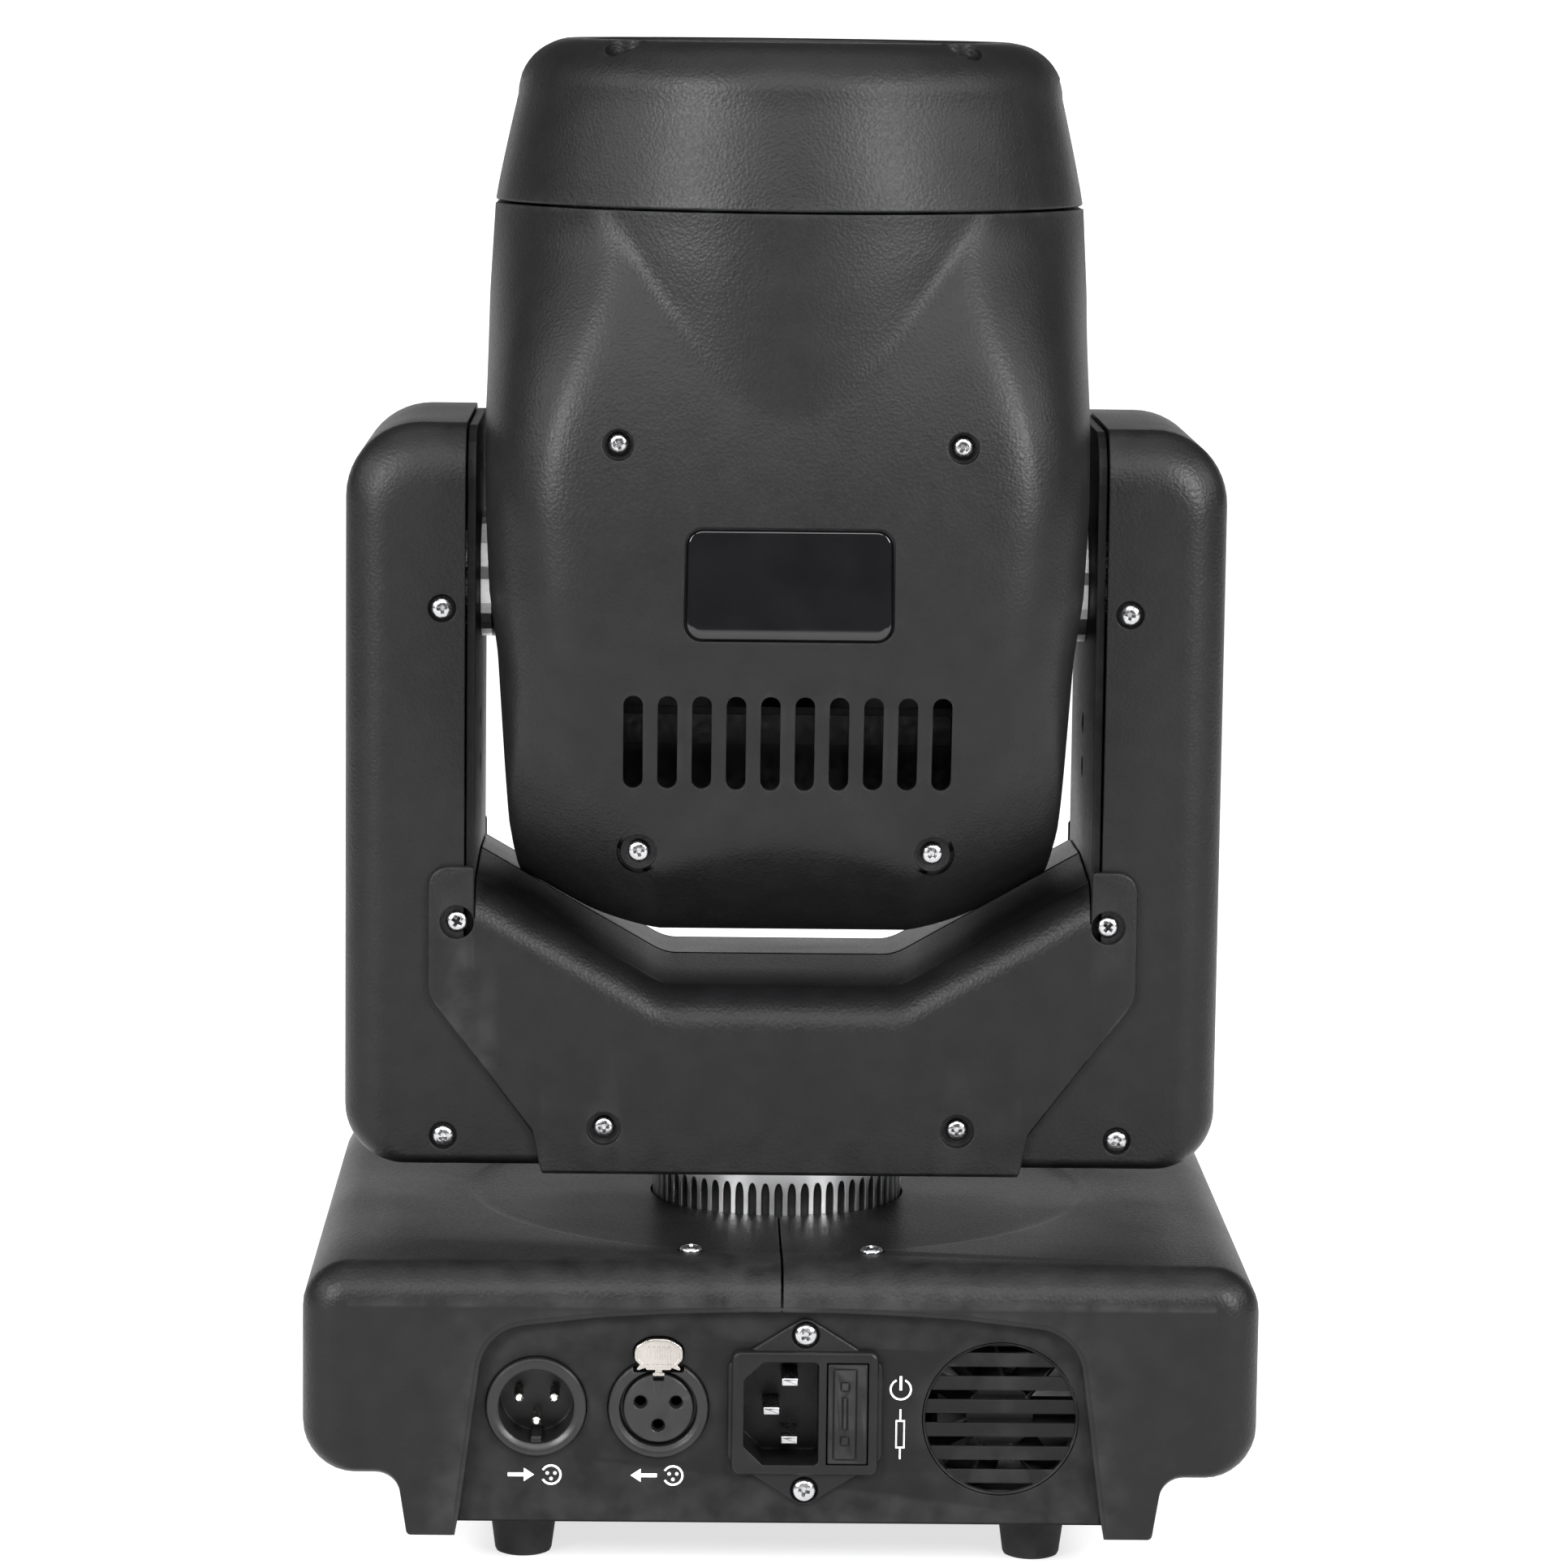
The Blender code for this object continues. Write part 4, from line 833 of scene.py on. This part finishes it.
SADDLE_X = sorted({round(s * x, 2) for s in (-1, 1) for x in
                   [0, 8, 16, 22, 25, 26, 27, 28, 29, 30, 31, 32, 36, 42, 50, 55, 57, 57.5, 58,
                    58.5, 59, 59.5, 60, 60.5, 61, 64, 68, 72, 74.1]})
EAR = soften([(73.6, 115.5, 0), (77.6, 120.7, 3), (85.5, 131, 8), (85.5, 162.5, 5),
              (74.3, 162.5, 1), (74.3, 150, 0), (73.6, 150, 0)], 8)
for end, sy in (("rear", -1), ("front", 1)):
    rings = []
    for x in SADDLE_X:
        top, low = rim_z(x), saddle_bottom(x)
        outer, inner = [(-43.9, low), (-44.5, low + 0.8)], [(-42.8, low), (-42.8, low + 0.8)]
        for k in range(15):
            t = math.radians(82) * k / 14
            outer.append((-32.9 - 11.6 * math.cos(t), top - 12.6 + 11.6 * math.sin(t)))
            inner.append((-32.5 - 10.3 * math.cos(t), top - 12.6 + 9.6 * math.sin(t)))
        outer += [(-34.1, top - 1.25), (-33.8, top - 1.15), (-16, top - 0.2),
                  (-0.9, top + 0.6), (-0.25, top + 0.2)]
        inner += [(-31, top - 3.2), (-30, top - 3.1), (-16, top - 2.2), (-0.9, top - 1.8),
                  (-0.25, top - 1.8)]
        rings.append([(x, -sy * y, z) for y, z in outer + inner[::-1]])
    rounded = (0.7, 0) if sy < 0 else (0, 0.7)
    steps = [("join", prism(sided(EAR, side), *sorted((sy * 44.5, sy * 42.8)), "y", *rounded))
             for side in (-1, 1)]
    steps.append(("join", prism(rect(-54.5, 54.5, *sorted((sy * 43.6, sy * 0.2))), 87.5, 89.5)))
    steps.append(("cut", rod(31.8, 80, 95, "z", 0, 0, 96)))
    wells = [rod(4.1, *sorted((sy * 47, sy * 42)), "y", sx * x, z, 40)
             for sx in (-1, 1) for x, z in SADDLE_SCREWS]
    steps.append(("cut", merged(wells)))
    solid(f"saddle_{end}", loft(rings), ABS, "yoke", steps, 28,
          [f"yoke_cover_{end}"])
    for tag, sx in (("left", -1), ("right", 1)):
        for k, (x, z) in enumerate(SADDLE_SCREWS):
            if k:
                cup(f"saddle_cup_{end}_{tag}", sx * x, sy * 42.9, z, 4.1, 1.6, (0, sy, 0),
                    "yoke")
            screw(sx * x, sy * (41.3 if k else 42.0), z, (0, sy, 0), "yoke",
                  f"saddle_{end}_{tag}_{k + 1}")

# ---------------- head
def width_at(z):
    for (z0, w0), (z1, w1) in zip(HEAD_WIDTHS, HEAD_WIDTHS[1:]):
        if z <= z1:
            return w0 + (w1 - w0) * max(z - z0, 0) / (z1 - z0)
    return HEAD_WIDTHS[-1][1]


def blend_min(a, b, soft):
    h = max(soft - abs(a - b), 0) / soft
    return min(a, b) - h * h * soft / 4


def cover_depth(x, z, off):
    """Depth of the head cover: rounded sides, a bowed face, and the drum under the cap."""
    down = min(max((CAP_Z - z) / 73, 0), 1)
    blend = down * down * (3 - 2 * down)
    power, deep = 2 + 3 * blend, 75 + 7.4 * blend - off
    half = width_at(z) - off
    reach = half / (1 - (STRIP_Y / deep) ** power) ** (1 / power)
    side = deep * max(1 - (abs(x) / reach) ** power, 0) ** (1 / power)
    face = 78.9 - (z - 235) ** 2 / 385.5 - off
    drum = (75 - off) * math.sqrt(max(1 - (x / 72) ** 2, 0))
    return blend_min(side, -blend_min(-face, -drum, 0.25), 3.0) if off == 0 else min(
        side, max(face, drum))


def low_point(u, angle, off):
    """A point of the cover's lower part, along a ray from the tilt axis."""
    sin, cos = math.sin(angle), math.cos(angle)

    def across(ray):
        return u * (width_at(TILT_Z - ray * cos) - off)

    lo, hi = 0.0, 96.0
    for _ in range(34):
        ray = (lo + hi) / 2
        if ray * sin > cover_depth(across(ray), TILT_Z - ray * cos, off):
            hi = ray
        else:
            lo = ray
    ease = max(angle - 0.96, 0) / 0.61  # runs out where the upper part begins
    sweep = SWEEP_R - 0.619 * max(abs(across(lo)) - 30, 0) - off + 4.5 * ease * ease
    flat = (82 - off) / max(cos, 1e-3)
    ray = blend_min(blend_min(lo, sweep, 5), flat, 3)
    return (across(ray), ray * sin, TILT_Z - ray * cos)


COLS = [math.sin(math.pi / 2 * k / 44) for k in range(-44, 45)]
ANGLES = [0.001] + [2.2 * k for k in range(1, 41)] + [90]
LEVELS = [TILT_Z + 2.2 * k for k in range(1, 42)] + [320.7]


def cover_grid(off, side):
    grid = []
    for degrees in ANGLES:
        points = [low_point(u, math.radians(degrees), off) for u in COLS]
        grid.append([(x, side * (y + 0.15), z) for x, y, z in points])
    for z in LEVELS:
        half = width_at(z) - off
        grid.append([(u * half, side * (cover_depth(u * half, z, off) + 0.15), z)
                     for u in COLS])
    return grid


HEAD_SCREWS = ((40.2, 267.0, 3.7), (34.7, 170.0, 4.3))
for end, sy in (("rear", -1), ("front", 1)):
    near, far = sorted((sy * 55, sy * 90))
    slots = [prism(rect((k - 4.5) * 8.05 - 2.3, (k - 4.5) * 8.05 + 2.3, 186, 208.4, 2.25, 6),
                   near, far, "y") for k in range(10)]
    wells = [rod(r, near, far, "y", sx * x, z, 40) for x, z, r in HEAD_SCREWS
             for sx in (-1, 1)]
    steps = [("cut", merged(slots)), ("cut", merged(wells))]
    if sy < 0:
        steps.append(("cut", prism(rect(-24.6, 24.6, 221.4, 248.2, 4.2, 8), -90, -77.1, "y")))
    solid(f"head_skin_{end}", sheet(cover_grid(0, sy), cover_grid(HEAD_WALL, sy)), ABS,
          "head", steps, 26, [f"head_cover_{end}"])
    for k, (x, z, r) in enumerate(HEAD_SCREWS):
        for tag, sx in (("left", -1), ("right", 1)):
            depth = cover_depth(x, z, 0)
            if z < TILT_Z:
                depth = min(depth, math.sqrt(SWEEP_R ** 2 - (TILT_Z - z) ** 2))
            cup(f"head_cup_{end}_{tag}_{k + 1}", sx * x, sy * (depth - 2.0), z, r, 1.6,
                (0, sy, 0), "head")
            screw(sx * x, sy * (depth - 3.6), z, (0, sy, 0), "head",
                  f"head_{end}_{tag}_{k + 1}", 0.98)

for tag, side in (("left", -1), ("right", 1)):
    rings = []
    for z in [168.5 + 3.04 * k for k in range(51)]:
        z = min(z, 320.7)
        outer, inner = side * (width_at(z) - 0.05), side * (width_at(z) - HEAD_WALL)
        rings.append([(outer - side * 0.5, -19.4, z), (outer, -18.8, z), (outer, 18.8, z),
                      (outer - side * 0.5, 19.4, z), (inner, 19.4, z), (inner, -19.4, z)])
    solid(f"side_skin_{tag}", loft(rings), ABS, "head",
          [("cut", rod(16.2, -90, 90, "x", 0, TILT_Z, 64))], 30, [f"head_side_{tag}"])


# cap: one thick-walled ring with four deep screw wells
CAP_TURNS = [2 * math.pi * (k + 0.5) / 96 for k in range(96)]


def cap_ring(z, o):
    deep, half = 75 - o, 70.8 - o
    strip = min(STRIP_Y, deep * 0.4)
    reach = half / math.sqrt(1 - (strip / deep) ** 2)
    points = []
    for t in CAP_TURNS:
        x, y = reach * math.cos(t), deep * math.sin(t)
        over = abs(x) - half
        if over > -3:  # eases into the flat side strip
            x = math.copysign(half - (3 - over) ** 2 / 12 if over < 0 else half, x)
        points.append((x, y, z))
    return points


profile = [(CAP_Z + 0.3, 0.35), (CAP_Z + 0.7, 0.0)]
profile += [(CAP_Z + 0.7 + (346 - CAP_Z) * k / 6, 5.2 * (k / 6) ** 1.1) for k in range(1, 7)]
profile += [(346.7 + 13.3 * math.sin(t), 5.2 + 12.8 * (1 - math.cos(t)))
            for t in quarter(12, 1)]
rings = [cap_ring(z, o) for z, o in profile]
rings += [[(r * math.cos(t), r * math.sin(t), z) for t in CAP_TURNS]
          for r, z in ((50.5, 360.0), (49.8, 359.7), (49.4, 359.0), (49.0, 357.4),
                       (47.3, 357.2), (47.0, 352), (47.0, CAP_Z + 0.3))]
wells = []
for sx in (-1, 1):
    for sy in (-1, 1):
        wells.append(rod(5.0, 341, 380, "z", sx * 39.4, sy * 45.6, 48))
        screw(sx * 39.4, sy * 45.6, 341, (0, 0, 1), "head",
              f"cap_{'rear' if sy < 0 else 'front'}_{'left' if sx < 0 else 'right'}")
solid("cap_skin", loft(rings, closed_rows=True), ABS, "head",
      [("cut", merged(wells))], 28, ["head_cap"])

# lens end
solid("lens_ring", lathe([(41.2, 353.8), (45.8, 353.8), (46.4, 354.4), (46.4, 357.0),
                          (45.9, 357.6), (44.6, 357.8), (43.0, 357.0), (41.6, 355.4)], 96,
                         closed=True), ABS_FINE, "head", (), 30,
      ["lens_bezel"])
dome = [(0, 338.2), (LENS_R - 0.2, 338.2), (LENS_R, 338.5), (LENS_R, 341)]
dome += [(LENS_R * (1 - k / 14), 353.2 - 12.2 * (1 - k / 14) ** 2) for k in range(1, 15)]
solid("lens_element", lathe(dome, 96), GLASS, "head", (), 40, ["front_lens"])
ribs = [(46.6, 322)]
for k in range(6):
    z = 323 + 2.4 * k
    ribs += [(44.4, z), (44.4, z + 1.2), (45.4, z + 1.3), (45.4, z + 2.3)]
ribs += [(44.4, 337.8), (46.6, 337.8)]
solid("lens_barrel", lathe(ribs, 80, closed=True), PAINT, "head")

# badge: a plain domed window with a fine border, no mark
def lean(z):
    """The badge face sits back a little towards its top edge."""
    return 0.05 * (z - 221.9)


rows = []
for y, o in ((-77.45, 0), (-78.2, 0), (-78.55, 0.25), (-78.75, 0.8), (-78.85, 2.0),
             (-78.87, 3.0)):
    rows.append([(a, y + lean(b), b)
                 for a, b in inset(rect(-24.15, 24.15, 221.9, 247.7, 3.9, 8), o)])
badge = solid("badge_window", loft(rows), GLOSS, "head", (), 40, ["badge"])
for polygon in badge.data.polygons:
    polygon.use_smooth = polygon.area < 0.0002

# tilt hubs in the gap between head and arm
for tag, side in (("left", -1), ("right", 1)):
    ring = [(0, 66), (15.2, 66), (15.5, 66.3), (15.5, 71.6), (15.1, 72.0), (12.6, 72.0),
            (12.6, 74.2), (8, 74.2), (8, 88 if side > 0 else 101), (0, 88 if side > 0 else 101)]
    solid(f"tilt_boss_{tag}", lathe([(r, side * x) for r, x in ring], 64, "x", 0, TILT_Z),
          ANODISED_AND_SHADE, "head")

# ---------------- carried-over CAD nodes
LOOKS = (
    (PAINT, "base_plate pan_motor yoke_frame tilt_motor head_frame colour_motor gobo_wheel "
            "gobo_motor focus_motor"),
    (ABS_FINE, "base_fan_frame base_fan_rotor head_fan_frame head_fan_rotor"),
    (PLATE, "power_supply pan_bearing colour_wheel"), (BOARD, "main_board"),
    # the heatsink takes the dark metal so the vent slots read dark: painted shade inside the
    # head
    (BELT, "pan_belt tilt_belt"), (ANODISED_AND_SHADE, "led_heatsink"), (LED, "led_board"),
    (STEEL, "pan_pinion tilt_pinion tilt_bearing_left tilt_bearing_right"),
    (ALU, "tilt_hub_left tilt_hub_right"), (GLASS, "focus_lens"))
for look, names in LOOKS:
    for cad in map(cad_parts.get, names.split()):
        cad.data.materials.clear()
        cad.data.materials.append(look)
        if look not in (GLASS, LED):
            rounded = cad.modifiers.new("edges", "BEVEL")
            rounded.width = 0.25 * MM
            rounded.segments = 1
            rounded.limit_method = "ANGLE"
            rounded.angle_limit = math.radians(50)

# coloured filters and the light source, seen down the lens
FILTERS = ((0.75, 0.03, 0.02), (0.02, 0.08, 0.7), (0.03, 0.5, 0.08), (0.8, 0.55, 0.03),
           (0.55, 0.03, 0.5), (0.02, 0.5, 0.6), (0.8, 0.25, 0.03))
for k, tone in enumerate(FILTERS):
    t = 2 * math.pi * (k + 1) / 8
    x, y = -math.sin(t) * 28, 28 - math.cos(t) * 28
    filt = simple(f"filter_glass_{k + 1}", tone, 0.08, Coat_Weight=0.5)
    solid(f"filter_{k + 1}", rod(6.9, 223.6, 224.3, "z", x, y, 40, 0.2), filt, "colours")
solid("led_chip", box(-7, 7, -7, 7, 202.7, 203.3, 1.0, "z", 0.2), PHOSPHOR, "head")

# ---------------- stage, light, camera
FRONT, BACK, BEND, THICK = -2400.0, 3100.0, 900.0, 40.0
sweep = [(FRONT, 0.0)] + [(BACK - BEND * (1 - math.sin(t)), BEND * (1 - math.cos(t)))
                          for t in quarter(16)]
sweep += [(BACK, BEND + THICK), (BACK + 60, BEND + THICK), (BACK + 60, -THICK), (FRONT, -THICK)]
floor = raw("floor", prism(sweep, -2600, 2600, "x"))
shade(floor.data, 30)
pale, tree, shader = nodes_of("pale_floor")
tree.links.new(two_tone(tree, noise(tree, 3, 4).outputs["Fac"], (0.50, 0.50, 0.50),
                        (0.52, 0.52, 0.52)), shader.inputs["Base Color"])
for key, value in (("Roughness", 0.9), ("Specular IOR Level", 0.0),
                   ("Emission Color", (1, 1, 1, 1)), ("Emission Strength", 0.72)):
    shader.inputs[key].default_value = value
floor.data.materials.append(pale)

world = bpy.data.worlds.new("studio")
bpy.context.scene.world = world
world.use_nodes = True
sky = world.node_tree.nodes["Background"].inputs
sky["Color"].default_value, sky["Strength"].default_value = (1, 1, 1, 1), 0.10


def area(name, where, aim, wide, high, watts):
    data = bpy.data.lights.new(name, "AREA")
    data.shape, data.size, data.size_y, data.energy = "RECTANGLE", wide, high, watts
    made = linked(name, data)
    made.location = where
    made.rotation_euler = (Vector(aim) - Vector(where)).to_track_quat("-Z", "Y").to_euler()


area("top_softbox", (0, -0.5, 2.6), (0, 0, 0.2), 3.0, 2.6, 42)
area("front_softbox", (0, -1.9, 1.75), (0, 0, 0.25), 1.5, 0.9, 36)
area("left_fill", (-1.6, -0.35, 1.05), (0, 0, 0.25), 0.7, 0.7, 12)
area("right_fill", (1.6, -0.35, 1.05), (0, 0, 0.25), 0.7, 0.7, 12)
area("left_softbox", (-1.25, -1.5, 1.0), (0, 0, 0.2), 0.6, 0.75, 60)
area("right_softbox", (1.25, -1.5, 1.0), (0, 0, 0.2), 0.6, 0.75, 60)

camera_data = bpy.data.cameras.new("camera")
camera_data.lens, camera_data.sensor_width = 132.0, 36.0
camera = linked("camera", camera_data)
camera.matrix_world = (Matrix.Translation((-0.0252, -1.411, 0.374))
                       @ Matrix.Rotation(math.radians(-1.05), 4, "Z")
                       @ Matrix.Rotation(math.radians(90 - 7.94), 4, "X")
                       @ Matrix.Rotation(math.radians(0.7), 4, "Z"))
bpy.context.scene.camera = camera
bpy.context.scene.view_settings.view_transform = "Standard"
